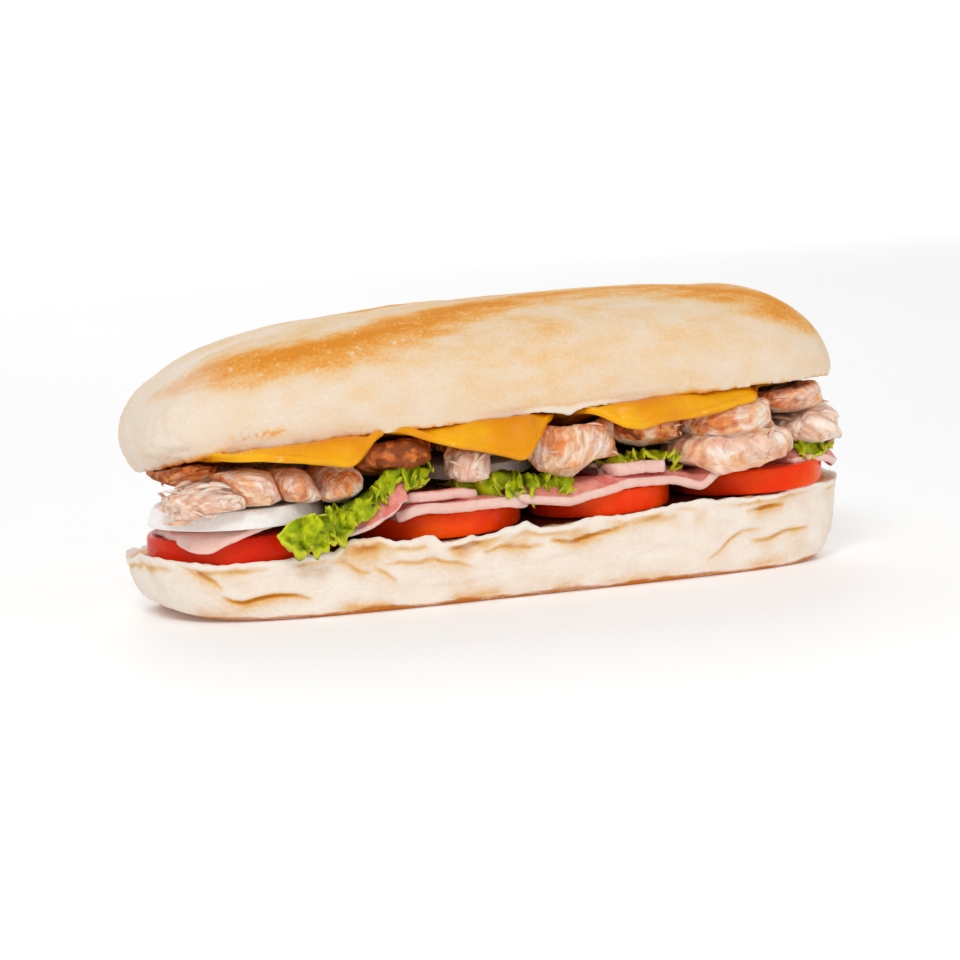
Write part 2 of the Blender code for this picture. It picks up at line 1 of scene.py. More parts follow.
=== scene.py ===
"""Looks of the submarine sandwich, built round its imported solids.

The two halves of the roll are rings of points from the base or the cut up to the crest, with their
wrinkles, slash and torn rims worked into the rings. Tomato and onion slices come from one tree of
geometry nodes. Ham, lettuce and cheese are fine sheets laid where the solids lie, and each piece
of meat is its solid remeshed and combed into fibres. Its torn shreds are scattered by geometry
nodes. Lengths are in metres, +X runs along the roll, -Y is the open front and +Z is up.
"""

from collections import namedtuple
import math

import bmesh
import bpy
import numpy as np
from mathutils import Matrix, Vector
from mathutils.bvhtree import BVHTree


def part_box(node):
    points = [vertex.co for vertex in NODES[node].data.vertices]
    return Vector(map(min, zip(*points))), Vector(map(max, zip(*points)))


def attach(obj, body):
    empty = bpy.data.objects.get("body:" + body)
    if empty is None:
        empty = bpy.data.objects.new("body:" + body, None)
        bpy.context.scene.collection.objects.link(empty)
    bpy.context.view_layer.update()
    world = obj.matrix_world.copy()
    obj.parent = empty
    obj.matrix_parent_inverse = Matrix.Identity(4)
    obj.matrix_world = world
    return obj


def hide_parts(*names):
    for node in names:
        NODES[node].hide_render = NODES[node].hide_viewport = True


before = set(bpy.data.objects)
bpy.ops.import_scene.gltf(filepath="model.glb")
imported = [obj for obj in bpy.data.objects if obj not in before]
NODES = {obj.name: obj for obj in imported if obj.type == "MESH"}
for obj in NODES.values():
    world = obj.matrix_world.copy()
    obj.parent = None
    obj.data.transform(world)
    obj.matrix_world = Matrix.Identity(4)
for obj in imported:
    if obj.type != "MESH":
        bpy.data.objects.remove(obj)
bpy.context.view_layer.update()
MM = 0.001


def names_of(kind):
    """The nodes of one food, in order."""
    return sorted(name for name in NODES if name.startswith(kind))


# ---------------------------------------------------------------- noise in arrays

LATTICE = 32
SLOPES = np.random.default_rng(7).normal(size=(LATTICE, LATTICE, LATTICE, 3))
SLOPES /= np.linalg.norm(SLOPES, axis=3)[..., None]
CORNERS = np.array(list(np.ndindex(2, 2, 2)))


def lattice_noise(spot):
    cell = np.floor(spot).astype(int)
    part = spot - cell
    blend = part**3 * (part * (part * 6 - 15) + 10)
    total = np.zeros(len(spot))
    for corner in CORNERS:
        slope = SLOPES[tuple(((cell + corner) % LATTICE).T)]
        weight = np.abs(1 - corner - blend).prod(axis=1)
        total += weight * ((part - corner) * slope).sum(axis=1)
    return total


def noise(points, scale, seed=0, octaves=1):
    """Smooth noise at each point, about -1 to 1, with features as wide as the scale in millimetres
    and then, for each further octave, half as wide and half as strong. The scale may differ by axis."""
    points = np.asarray(points, float)
    spot = points.reshape(-1, 3) / (np.asarray(scale) * MM) + np.array([17.31, 5.17, 9.73]) * (seed + 1)
    total, weight = np.zeros(len(spot)), 1.6
    for _ in range(octaves):
        total += weight * lattice_noise(spot)
        spot = spot * 2.03 + 11.7
        weight /= 2
    return total.reshape(points.shape[:-1])


def ramp(value, low, high):
    """0 below low, 1 above high and smooth between them."""
    part = np.clip((np.asarray(value, float) - low) / (high - low), 0, 1)
    return part * part * (3 - 2 * part)


def bell(value, width, power=2):
    """1 where the value is 0, falling off to nothing a few widths away on both sides."""
    return np.exp(-(np.abs(value / width) ** power))


def far_from_line(across, up, line):
    """Distance of points (across, up) from a line through corners, and the share of the line
    that lies before the nearest place on it."""
    corners = np.array(line, float)
    nearest = np.full(np.shape(across), np.inf)
    share = np.zeros(np.shape(across))
    for i, (start, end) in enumerate(zip(corners[:-1], corners[1:])):
        run = end - start
        along = ((across - start[0]) * run[0] + (up - start[1]) * run[1]) / (run @ run)
        along = np.clip(along, 0, 1)
        away = np.hypot(across - start[0] - run[0] * along, up - start[1] - run[1] * along)
        share = np.where(away < nearest, (i + along) / (len(corners) - 1), share)
        nearest = np.minimum(away, nearest)
    return nearest, share


# ---------------------------------------------------------------- meshes

def linked(name, mesh):
    """A new object at the origin with this mesh, in the scene."""
    made = bpy.data.objects.new(name, mesh)
    bpy.context.scene.collection.objects.link(made)
    return made


def set_mask(mesh, name, values):
    """An attribute of the points: one number for each, or three."""
    values = np.asarray(values, np.float32)
    kind, field = ("FLOAT_VECTOR", "vector") if values.ndim == 2 else ("FLOAT", "value")
    mesh.attributes.new(name, kind, "POINT").data.foreach_set(field, values.ravel())


def mesh_object(name, points, faces, masks=None):
    """An object with these faces, and one float attribute for each mask."""
    mesh = bpy.data.meshes.new(name)
    mesh.from_pydata(np.asarray(points).reshape(-1, 3), [], faces)
    for mask, values in (masks or {}).items():
        set_mask(mesh, mask, np.ravel(values))
    return linked(name, mesh)


def merged_object(name, meshes, closer=0.0):
    """One object of several meshes, with points closer than this merged."""
    bm = bmesh.new()
    for mesh in meshes:
        bm.from_mesh(mesh)
    if closer:
        bmesh.ops.remove_doubles(bm, verts=bm.verts, dist=closer)
    merged = bpy.data.meshes.new(name)
    bm.to_mesh(merged)
    bm.free()
    return linked(name, merged)


def applied(made):
    """The object with what its modifiers make of it as its mesh."""
    graph = bpy.context.evaluated_depsgraph_get()
    mesh = bpy.data.meshes.new_from_object(made.evaluated_get(graph), depsgraph=graph)
    made.modifiers.clear()
    made.data = mesh
    return made


def ring_faces(rings, count):
    """Quads of a tube of rings, with a strip of faces across its first and its last ring."""
    low = np.arange(rings - 1)[:, None] * count + np.arange(count)[None, :]
    right = np.arange(rings - 1)[:, None] * count + (np.arange(count)[None, :] + 1) % count
    sides = np.stack([low, right, right + count, low + count], axis=-1).reshape(-1, 4)
    across = np.arange(1, count // 2 - 1)
    strip = np.stack([across, count - across, count - across - 1, across + 1], axis=-1)
    last = (rings - 1) * count
    quads = np.concatenate([sides, strip, strip[:, ::-1] + last]).tolist()
    half = count // 2
    for corners in ([0, count - 1, 1], [half - 1, half + 1, half]):
        quads.append(corners)
        quads.append([last + i for i in corners[::-1]])
    return quads


def unit(vectors):
    return vectors / np.maximum(np.linalg.norm(vectors, axis=2, keepdims=True), 1e-12)


def ring_normals(grid):
    around = np.roll(grid, -1, axis=1) - np.roll(grid, 1, axis=1)
    return unit(np.cross(around, np.gradient(grid, axis=0)))


def sheet_normals(grid):
    """Unit normals of a grid whose rows run to the back, facing up."""
    return unit(np.cross(np.gradient(grid, axis=1), np.gradient(grid, axis=0)))


def sheet_object(name, middle, thickness, masks=None):
    """A closed sheet of this thickness about a grid of points. Its rim is where both faces
    meet, so the thickness is 0 there."""
    rows, columns = middle.shape[:2]
    lift = sheet_normals(middle) * thickness[..., None] / 2
    index = np.arange(rows * columns).reshape(rows, columns)
    under = index + rows * columns
    under[0], under[-1], under[:, 0], under[:, -1] = index[0], index[-1], index[:, 0], index[:, -1]

    def quads(i):
        return np.stack([i[:-1, :-1], i[:-1, 1:], i[1:, 1:], i[1:, :-1]], axis=-1).reshape(-1, 4)

    faces = np.concatenate([quads(index), quads(under)[:, ::-1]])
    used, faces = np.unique(faces, return_inverse=True)
    points = np.concatenate([(middle + lift).reshape(-1, 3), (middle - lift).reshape(-1, 3)])[used]
    both = {mask: np.tile(np.ravel(values), 2)[used] for mask, values in (masks or {}).items()}
    return mesh_object(name, points, faces.reshape(-1, 4).tolist(), both)


def edge_steps(length, fine, coarse, growth=1.25):
    """Steps from 0 to 1 along a length, fine at both ends and coarse between them."""
    steps, step = [0.0], fine
    while steps[-1] < length / 2:
        steps.append(steps[-1] + step)
        step = min(step * growth, coarse)
    half = np.array(steps) / steps[-1] / 2
    return np.concatenate([half, 1 - half[-2::-1]])


def round_rim(middle, thickness, radius):
    """The thickness over a grid once its rim is rounded off over the radius."""
    across = np.linalg.norm(np.diff(middle, axis=1), axis=2)
    along = np.linalg.norm(np.diff(middle, axis=0), axis=2)
    left = np.cumsum(np.pad(across, ((0, 0), (1, 0))), axis=1)
    near = np.cumsum(np.pad(along, ((1, 0), (0, 0))), axis=0)
    inside = np.minimum(np.minimum(left, left[:, -1:] - left), np.minimum(near, near[-1:] - near))
    short = np.clip(1 - inside / radius, 0, 1)
    return thickness * np.sqrt(1 - short**2), inside


def finished(made, slot, *nodes, material=None):
    """Smooths the piece, gives it its material and puts it in the place of its CAD nodes."""
    made.data.shade_smooth()
    if material:
        made.data.materials.clear()
        made.data.materials.append(material)
    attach(made, "root")
    if nodes:
        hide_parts(*nodes)
    return made


# ---------------------------------------------------------------- nodes

class Value:
    """What comes out of a node, for sums and for the inputs of other nodes."""

    def __init__(self, graph, socket):
        self.graph, self.socket = graph, socket

    def __add__(self, other):
        return self.graph.math("ADD", self, other)

    def __sub__(self, other):
        return self.graph.math("SUBTRACT", self, other)

    def __rsub__(self, other):
        return self.graph.math("SUBTRACT", other, self)

    def __mul__(self, other):
        return self.graph.math("MULTIPLY", self, other)


class Graph:
    """Short calls that add nodes to a material, a shader group or a tree of geometry nodes."""

    def __init__(self, tree):
        self.tree = tree

    def feed(self, socket, value):
        """Gives an input its number, colour or Value."""
        if isinstance(value, Value):
            self.tree.links.new(value.socket, socket)
        elif value is not None:
            socket.default_value = value

    def node(self, kind, inputs=(), **settings):
        made = self.tree.nodes.new(kind)
        for name, value in settings.items():
            setattr(made, name, value)
        for name, value in dict(inputs).items():
            self.feed(made.inputs[name], value)
        return made

    def add(self, kind, inputs=(), output=0, **settings):
        """One output of a new node, by its place or name."""
        return Value(self, self.node(kind, inputs, **settings).outputs[output])

    def math(self, operation, a, b=0.0, clamp=False):
        return self.add("ShaderNodeMath", {0: a, 1: b}, operation=operation, use_clamp=clamp)

    def vector(self, operation, a, b):
        return self.add("ShaderNodeVectorMath", {0: a, 1: b}, operation=operation)

    def remap(self, value, low, high, to_low=0.0, to_high=1.0, smooth=True):
        kind = "SMOOTHSTEP" if smooth else "LINEAR"
        return self.add("ShaderNodeMapRange", {"Value": value, "From Min": low, "From Max": high,
            "To Min": to_low, "To Max": to_high}, interpolation_type=kind)

    def mask(self, name):
        """A float attribute of the piece."""
        return self.add("ShaderNodeAttribute", output="Fac", attribute_name=name)

    def place(self):
        return self.add("ShaderNodeTexCoord", output="Object")

    def blend(self, factor, first, second):
        """The first colour turned into the second by the factor."""
        made = self.node("ShaderNodeMix", data_type="RGBA")
        for name, value in (("Factor_Float", factor), ("A_Color", first), ("B_Color", second)):
            self.feed(next(s for s in made.inputs if s.identifier == name), value)
        return Value(self, next(s for s in made.outputs if s.identifier == "Result_Color"))

    def group(self, tree, **inputs):
        named = {name.replace("_", " ").title(): value for name, value in inputs.items()}
        return self.add("ShaderNodeGroup", named, node_tree=tree)


def rgb(red, green, blue):
    """A linear colour from the 0 to 255 values of a screen."""
    return (*(((v / 255 + 0.055) / 1.055) ** 2.4 if v > 10 else v / 3294 for v in (red, green, blue)), 1.0)


def new_group(name, inputs, output, kind="ShaderNodeTree"):
    """A node group with these inputs (name, kind and value) and this output, and its Graph."""
    tree = bpy.data.node_groups.new(name, kind)
    for socket, socket_kind, value in inputs:
        made = tree.interface.new_socket(socket, in_out="INPUT", socket_type="NodeSocket" + socket_kind)
        if value is not None:
            made.default_value = value
    tree.interface.new_socket(output[0], in_out="OUTPUT", socket_type="NodeSocket" + output[1])
    graph = Graph(tree)
    graph.inputs = {s.name: Value(graph, s) for s in graph.node("NodeGroupInput").outputs if s.name}
    graph.end = graph.node("NodeGroupOutput").inputs[0]
    return tree, graph


def mottle_group():
    """Cloudy patches: a mask that is 0 below Low and 1 above High of a noise of this Scale."""
    tree, graph = new_group("mottle", [
        ("Vector", "Vector", None), ("Scale", "Float", 100.0), ("Detail", "Float", 3.0),
        ("Low", "Float", 0.4), ("High", "Float", 0.6), ("Stretch", "Vector", (1.0, 1.0, 1.0)),
    ], ("Mask", "Float"))
    value = graph.inputs
    cloud = graph.add("ShaderNodeTexNoise", {"Vector": graph.vector("MULTIPLY", value["Vector"],
        value["Stretch"]), "Scale": value["Scale"], "Detail": value["Detail"]}, "Fac")
    graph.feed(graph.end, graph.remap(cloud, value["Low"], value["High"]))
    return tree


def grain_group():
    """A fine uneven surface: small lumps of this Scale and Depth, and pits between them."""
    tree, graph = new_group("grain", [("Scale", "Float", 900.0), ("Depth", "Float", 0.0002),
        ("Pits", "Float", 0.3), ("Normal", "Vector", None)], ("Normal", "Vector"))
    value, place = graph.inputs, graph.place()
    lumps = graph.add("ShaderNodeTexNoise", {"Vector": place, "Scale": value["Scale"],
        "Detail": 4.0, "Roughness": 0.6}, "Fac")
    cells = graph.add("ShaderNodeTexVoronoi", {"Vector": place, "Scale": value["Scale"] * 0.7}, "Distance")
    pits = graph.remap(cells, 0.0, 0.35, -1.0, 0.0) * value["Pits"]
    graph.feed(graph.end, graph.add("ShaderNodeBump", {"Height": lumps + pits,
        "Distance": value["Depth"], "Normal": value["Normal"]}))
    return tree


MOTTLE = mottle_group()
GRAIN = grain_group()


def mottle(graph, scale, detail, low, high, vector=None, **more):
    """The mottle group in a material, on Object coordinates unless another vector is given."""
    return graph.group(MOTTLE, vector=vector or graph.place(), scale=scale, detail=detail, low=low,
        high=high, **more)


def bumped(graph, height, distance, under):
    """Normals raised by the height, on top of those under them."""
    return graph.add("ShaderNodeBump", {"Height": height, "Distance": distance, "Normal": under})


def new_material(name, **constants):
    """A material and the Graph of its nodes. The constants are set on its Principled BSDF."""
    made = bpy.data.materials.new(name)
    made.use_nodes = True
    graph = Graph(made.node_tree)
    graph.shader = made.node_tree.nodes["Principled BSDF"]
    for socket, value in constants.items():
        graph.shader.inputs[socket.replace("_", " ").title()].default_value = value
    return made, graph


def soft_material(name, weight, scale, radius, gloss, **constants):
    """A material that light soaks into by this weight, scale and radius in red, green and blue."""
    made, graph = new_material(name, subsurface_weight=weight, subsurface_scale=scale,
        subsurface_radius=radius, **constants)
    graph.shader.inputs["Specular IOR Level"].default_value = gloss
    graph.shader.subsurface_method = "RANDOM_WALK"
    return made, graph


def set_looks(graph, colour, roughness, normal=None):
    for name, value in (("Base Color", colour), ("Roughness", roughness), ("Normal", normal)):
        graph.feed(graph.shader.inputs[name], value)


# ---------------------------------------------------------------- the roll

HALF_LENGTH = 122.5 * MM
HALF_WIDTH = 41 * MM
SQUARENESS = 3.2  # exponent of the outline from above
LOWER_ROUNDING = 2.3  # of the curl under the lower half
SIDE_POWER = 2.5  # of the dome of the upper half
LOWER_CELL, UPPER_CELL = 0.62 * MM, 0.7 * MM  # from one ring to the next


def lower_cut(x):
    return (22 + 5 * x / HALF_LENGTH) * MM


def upper_cut(x, y):
    droop = np.maximum(0, (-x - 90 * MM) / (HALF_LENGTH - 90 * MM))
    return (54.5 + 5 * x / HALF_LENGTH - 5 * y / HALF_WIDTH - 3.5 * droop**2) * MM


def crest(x):
    return (95 - 4.5 * ((x - 35 * MM) / (100 * MM)) ** 2) * MM


def roll_outline(left, right, half_width, squareness=SQUARENESS, count=940):
    """The roll's outline from above at equal steps, starting at its right end."""
    angle = np.linspace(0, 2 * math.pi, 4001)
    power = 2 / squareness
    x = np.sign(np.cos(angle)) * np.abs(np.cos(angle)) ** power
    y = np.sign(np.sin(angle)) * np.abs(np.sin(angle)) ** power
    x, y = x * np.where(x > 0, right, left), y * half_width
    length = np.concatenate([[0], np.cumsum(np.hypot(np.diff(x), np.diff(y)))])
    steps = np.linspace(0, length[-1], count + 1)[:-1]
    return np.interp(steps, length, x), np.interp(steps, length, y)


def even_levels(profile, cell, highest=1.0):
    """Levels at which a profile (out, up) of the level moves by steps of one cell."""
    dense = np.linspace(0, highest, 2000)
    length = np.concatenate([[0], np.cumsum(np.hypot(*np.diff(profile(dense))))])
    return np.interp(np.linspace(0, length[-1], int(length[-1] / cell)), length, dense)


def kernel_of(reach):
    """The weights of a smooth average over the reach in cells."""
    kernel = np.exp(-0.5 * (np.arange(-2 * reach, 2 * reach + 1) / reach) ** 2)
    return kernel / kernel.sum()


def blurred(values, reach):
    """A field over rings, averaged over the reach in cells, round the rings and between them."""
    kernel = kernel_of(reach)
    wide = np.pad(values, ((0, 0), (2 * reach, 2 * reach)), mode="wrap")
    wide = np.apply_along_axis(np.convolve, 1, wide, kernel, mode="valid")
    tall = np.pad(wide, ((2 * reach, 2 * reach), (0, 0)), mode="edge")
    return np.apply_along_axis(np.convolve, 0, tall, kernel, mode="valid")


def node_tree(node):
    mesh = NODES[node].data
    return BVHTree.FromPolygons([v.co for v in mesh.vertices], [p.vertices for p in mesh.polygons])


def settled_on(grid, node, reach=16):
    """The rings moved to the solid's own surface, without the solid's facets."""
    tree = node_tree(node)
    nearest = np.array([tree.find_nearest(Vector(p))[0] for p in grid[:, ::4].reshape(-1, 3)])
    offset = np.repeat(nearest.reshape(len(grid), -1, 3) - grid[:, ::4], 4, axis=1)
    return grid + np.stack([blurred(offset[..., i], reach) for i in range(3)], axis=-1)


def lower_level(level):
    """How full the lower half is at a level from 0, its base, to 1, its cut: 0 to 1."""
    return (1 - (1 - level) ** LOWER_ROUNDING) ** (1 / LOWER_ROUNDING)


def lower_rings():
    """Rings of the lower half from inside its base, up its side and over on to its cut, with the
    height level of each."""
    rows = [(0.0, inset * MM) for inset in (24, 12, 5, 2, 0.6)]
    levels = even_levels(lambda v: (5 * MM * lower_level(v), 22 * MM * v), LOWER_CELL)
    rows += [(level, 0.0) for level in levels]
    rows += [(1.0, inset * MM) for inset in (0.35, 0.8, 1.4, 2.1, 3, 4, 5.2, 6.6, 8.4, 11, 15, 20, 26)]
    rings = []
    for level, inset in rows:
        drawn_in = 1 - lower_level(level)
        left, right, half_width = (reach - (tucked * MM * drawn_in + inset) for reach, tucked in
            ((HALF_LENGTH, 22), (HALF_LENGTH, 16), (HALF_WIDTH, 5)))
        x, y = roll_outline(left, right, half_width, SQUARENESS + 1.6 * drawn_in)
        rings.append(np.column_stack([x, y, level * lower_cut(x)]))
    return np.array(rings), np.array(rows)


def end_reach(level, widest, undercut, rounding):
    """How far an end of the upper half reaches out at a level from 0, its cut, to 1, its crest."""
    rise = np.clip((level - widest) / (1 - widest), 0, 1)
    tucked = np.clip((widest - level) / widest, 0, 1)
    return HALF_LENGTH - undercut * tucked**2 - rounding * (1 - np.sqrt(1 - rise**2))


def upper_half_width(level):
    rise = np.clip((level - 0.2) / 0.8, 0, 1)
    tucked = np.clip((0.2 - level) / 0.2, 0, 1)
    return (HALF_WIDTH + 1 * MM - 0.8 * MM * tucked**2) * (1 - rise**SIDE_POWER) ** (1 / SIDE_POWER)


def upper_rings():
    """Rings of the upper half from inside its cut, over its edge and up to its crest."""
    rows = [(0.0, inset * MM) for inset in (26, 18, 12, 8, 5.5, 3.8, 2.6, 1.7, 1, 0.45)]
    levels = even_levels(lambda v: (upper_half_width(v), 41 * MM * v), UPPER_CELL, 0.9994)
    rows += [(level, 0.0) for level in levels]
    rings = []
    for level, inset in rows:
        x, y = roll_outline(end_reach(level, 0.3, 3.5 * MM, 52 * MM) - inset,
            end_reach(level, 0.08, 1 * MM, 38 * MM) - inset, upper_half_width(level) - inset)
        y = y + 1 * MM * level
        cut = upper_cut(x, y)
        rings.append(np.column_stack([x, y, cut + (crest(x) - cut) * level]))
    return np.array(rings), np.array(rows)


# Folds of the lower crust: (x, z) in millimetres along each, its depth in millimetres and how
# golden it is. The golden is crust colour along each line and painted shade where it spreads below
# the line, under the fold.
CREASES = [
    ([(-116, 17.2), (-110, 15.2), (-106, 13.2), (-103, 10.5)], 0.6, 0.5),
    ([(-104, 8.6), (-101, 7.0), (-98, 6.7), (-94, 7.7), (-88, 8.3), (-82, 8.2), (-76, 6.6)], 1.0, 1.0),
    ([(-77, 20.9), (-70, 20.6), (-62, 20.4), (-55, 19.6)], 0.7, 0.55),
    ([(-71, 17.6), (-66, 15.6), (-61, 12.8), (-57, 12.4)], 0.45, 0.35),
    ([(-57, 13.9), (-53, 12.2), (-49, 9.8)], 0.35, 0.3),
    ([(-54, 14.2), (-48, 15.2), (-41, 14.6), (-36, 15.4), (-28, 13.8), (-22, 11.7)], 0.5, 0.4),
    ([(-32, 20.2), (-26, 18.7), (-20, 19.8)], 0.6, 0.55),
    ([(-20, 15.9), (-14, 17.2), (-4, 16.5), (2, 16.9)], 0.45, 0.45),
    ([(3, 18.1), (11, 16.9), (20, 18.3), (31, 20.6)], 0.9, 0.85),
    ([(31, 20.9), (44, 20.6), (52, 21.0)], 0.3, 0.2),
    ([(60, 6.4), (65, 8.4), (69, 11.6), (75, 13.9), (82, 14.1)], 0.6, 0.4),
    ([(77, 10.2), (86, 10.6), (93, 12.3), (102, 12.5)], 0.65, 0.6),
    ([(76, 20.6), (84, 21.5), (92, 21.0)], 0.6, 0.9),
    ([(-5, 10.5), (8, 12.5), (24, 13.6)], 0.3, 0.05),
    ([(-44, 7.2), (-28, 6.6), (-12, 8.0)], 0.3, 0.05),
    ([(30, 8.5), (42, 12.0), (54, 13.0)], 0.3, 0.05),
    ([(-96, 13.2), (-84, 14.6), (-74, 13.2)], 0.25, 0.05),
]
# The torn rim: (x, millimetres above the cut) along the front.
RIM = np.array([(-126, 5.0), (-121, 3.8), (-112, 1.8), (-104, 0.9), (-98, 0.8), (-86, 0.9), (-76, 1.2),
    (-69.5, 1.2), (-66, 3.6), (-63, 4.2), (-54, 3.9), (-49, 2.4), (-44, 2.2), (-39, 3.0), (-36.5, 2.2),
    (-33.5, -0.4), (-29.5, -0.6), (-23, 0.1), (-20, 0.2), (-8, 1.6), (-5, 2.2), (0, 0.2), (10, -0.6),
    (16, 0.9), (21, 1.4), (26, 0.6), (32, 0.4), (40, 1.0), (52, 1.6), (62, 1.4), (72, 0.2), (82, -0.8),
    (92, -0.2), (104, 0.3), (112, -0.6), (118, -0.8), (126, 0.5)])
# Where the crust just under the rim is golden, partly toasted and partly painted shade under the
# rim's lip: middle, half length, strength.
TOAST_AND_SHADE_UNDER_RIM = [(-59, 9, 0.62), (-22, 9, 0.65), (10, 5, 0.4), (34, 12, 0.35), (84, 9, 0.45), (-104, 8, 0.3)]


def creased(x, z, allowed):
    """How far the folds push the crust out, in millimetres, and how golden they make it, with painted
    shade spreading below each fold.
    """
    out, golden = np.zeros(x.shape), np.zeros(x.shape)
    for line, depth, colour in CREASES:
        away, share = far_from_line(x, z, line)
        corners = np.array(line)
        under = np.interp(x, corners[:, 0], corners[:, 1]) - z
        fade = np.sin(math.pi * np.clip(share, 0, 1)) ** 0.7 * allowed * (share > 0) * (share < 1)
        above = ramp(-under, -0.35, 0.35)
        out -= depth * fade * bell(away, 0.75)
        out += 0.75 * depth * fade * above * bell(away - 1.6, 1.5)
        # The golden line is crust colour; its wider part below and the faint spread below it are painted
        # shade under the fold.
        golden = np.maximum(golden, 1.2 * fade * colour * bell(away, np.where(under > 0, 0.8, 0.42)))
        golden = np.maximum(golden, 0.35 * fade * colour * (1 - above) * bell(away, 2.4))
    return out, golden


def side_wrinkles(rings):
    """Slow waves, short folds and a fine grain of the crust, in millimetres."""
    soft = noise(rings, (20, 20, 11), 6, 2) * 0.5
    folds = 1 - np.abs(noise(rings, (22, 22, 7), 13, 2)) / 0.14
    soft += 0.22 * np.clip(folds, 0, 1) ** 1.5
    soft += noise(rings, (4.5, 4.5, 2.4), 7, 2) * 0.13
    return soft + noise(rings, 1.5, 14, 2) * 0.035


def torn_rim(rings, drop, near_rim, below_rim, whole):
    """What tears the rim of the lower half: how far it pushes out and up in millimetres, the
    hollow below its flaps and the line under its lip, dents whose golden is painted shade under the
    rim. The flaps stand where the rim is whole."""
    flap = ramp(noise(rings, (17, 17, 60), 12, 2), 0.05, 0.5) * whole
    hollow_and_shade = flap * bell(drop - 3.2, 1.3) * below_rim
    under_lip = bell(drop - 1.7 + 0.5 * noise(rings, 9, 17, 2), 0.45) * below_rim
    under_lip *= ramp(noise(rings, (16, 16, 60), 18, 2), -0.25, 0.2)
    out = near_rim * (1.0 + 0.6 * noise(rings, (10, 10, 40), 4, 3) + 0.7 * flap)
    out -= 0.5 * hollow_and_shade + 0.4 * under_lip
    return out, near_rim * (0.6 * noise(rings, (6, 6, 40), 5, 3) + 0.3 * flap), hollow_and_shade, under_lip


def toast_and_shade_under_rim(rings, x, drop):
    """How golden the crust is just under the rim: partly toasted crust, partly painted shade under its lip.
    """
    toast_and_shade = sum(strength * bell(x - middle, half, 4) for middle, half, strength in TOAST_AND_SHADE_UNDER_RIM)
    below = drop - 1.1 + 0.7 * noise(rings, 5, 16, 2)
    return toast_and_shade * ramp(below, -0.3, 0.3) * bell(np.maximum(below, 0), 2.0)


def baked_base(rings):
    """Where the lower half is baked brown: its base, and its underside at the left end."""
    uneven = 0.9 * noise(rings, (15, 15, 40), 9, 3)
    underside = ramp(-ring_normals(rings)[..., 2], 0.8, 0.93) * ramp(-rings[..., 0] / MM, 80, 108)
    return 1 - ramp(rings[..., 2] / MM + uneven - 1.8 * underside, 1.2, 1.9)


def spread(rows, rings):
    """The level and the inset of each ring, at every point round it."""
    return (np.repeat(part[:, None], rings.shape[1], axis=1) for part in rows.T)


def pushed(rings, out, up, cut):
    """The rings moved out, but for those of the cut, and up, both in millimetres."""
    moved = rings + ring_normals(rings) * (out * MM * (1 - cut))[..., None]
    moved[..., 2] += up * MM
    return moved


def lower_roll():
    """The lower half: a flat browned base, a pale wrinkled side with golden creases, and a torn
    rim round the cut crumb. Its back is like its front, turned half round about x = 7 mm."""
    rings, rows = lower_rings()
    rings = settled_on(rings, "roll_lower")
    level, inset = spread(rows, rings)
    cut = level * (inset > 0)
    front_x, y, z = (rings[..., i] / MM for i in range(3))
    back_x, behind = 14 - front_x, ramp(y, -9, 9)
    x = np.where(y > 0, back_x, front_x)
    off_ends = 1 - ramp(np.abs(front_x), 117, 122)
    off_ends *= 1 - bell(y, 8, 4) * ramp(np.abs(front_x), 90, 105)
    side = (inset == 0) * ramp(level, 0.02, 0.12)
    out, golden = creased(x + noise(rings, 15, 1), z + 0.5 * noise(rings, 9, 2), side * off_ends)
    drop, high = (1 - level) * z + inset / MM, level > 0.5
    whole = 1 - 0.8 * ramp(-front_x, 72, 88) * (1 - behind)
    near_rim = bell(drop, 2.0) * high
    torn_out, up, hollow_and_shade, under_lip = torn_rim(rings, drop, near_rim, high * (inset == 0), whole)
    rim_height = np.interp(front_x, *RIM.T) * (1 - behind) + np.interp(back_x, *RIM.T) * behind
    up += rim_height * bell(drop, 3.2) * high
    up += cut * (1 - near_rim) * (noise(rings, 4, 8, 3) * 0.35 - 0.2)
    out += torn_out + side_wrinkles(rings) * side * (1 - near_rim)
    moved = pushed(rings, out, up, cut)
    moved[..., 2] = np.maximum(moved[..., 2], 0)
    # Golden just under the rim: partly toasted crust, partly painted shade under the lip.
    toast_and_shade = toast_and_shade_under_rim(rings, x, drop) * side * off_ends
    floury = 0.6 * near_rim * (1 - toast_and_shade) * (1 - 0.7 * under_lip)
    floury += 0.5 * ramp(noise(rings, 14, 10, 2), 0.1, 0.7) * side
    # The golden of the hollow under the flaps and of the line under the lip is painted shade under the rim.
    browned = 0.1 + 1.15 * golden + 0.2 * hollow_and_shade + 0.07 * noise(rings, 11, 15, 3)
    # The crumb's darkening away from the rim is painted shade, where the fillings shade the cut.
    masks = {"browned": browned + 0.75 * toast_and_shade + 0.4 * under_lip, "floury": floury,
        "baked_base": baked_base(rings), "cut_face": cut * ramp(inset / MM, 0.3, 1.4),
        "gap_shade": cut * ramp(inset / MM, 2.4, 6.0)}
    return mesh_object("roll_lower_bread", moved, ring_faces(*rings.shape[:2]), masks)


SLASH = [(-116, -6), (-80, -3), (-40, 2), (-5, 6), (18, 8)]  # (x, y) along it, in millimetres
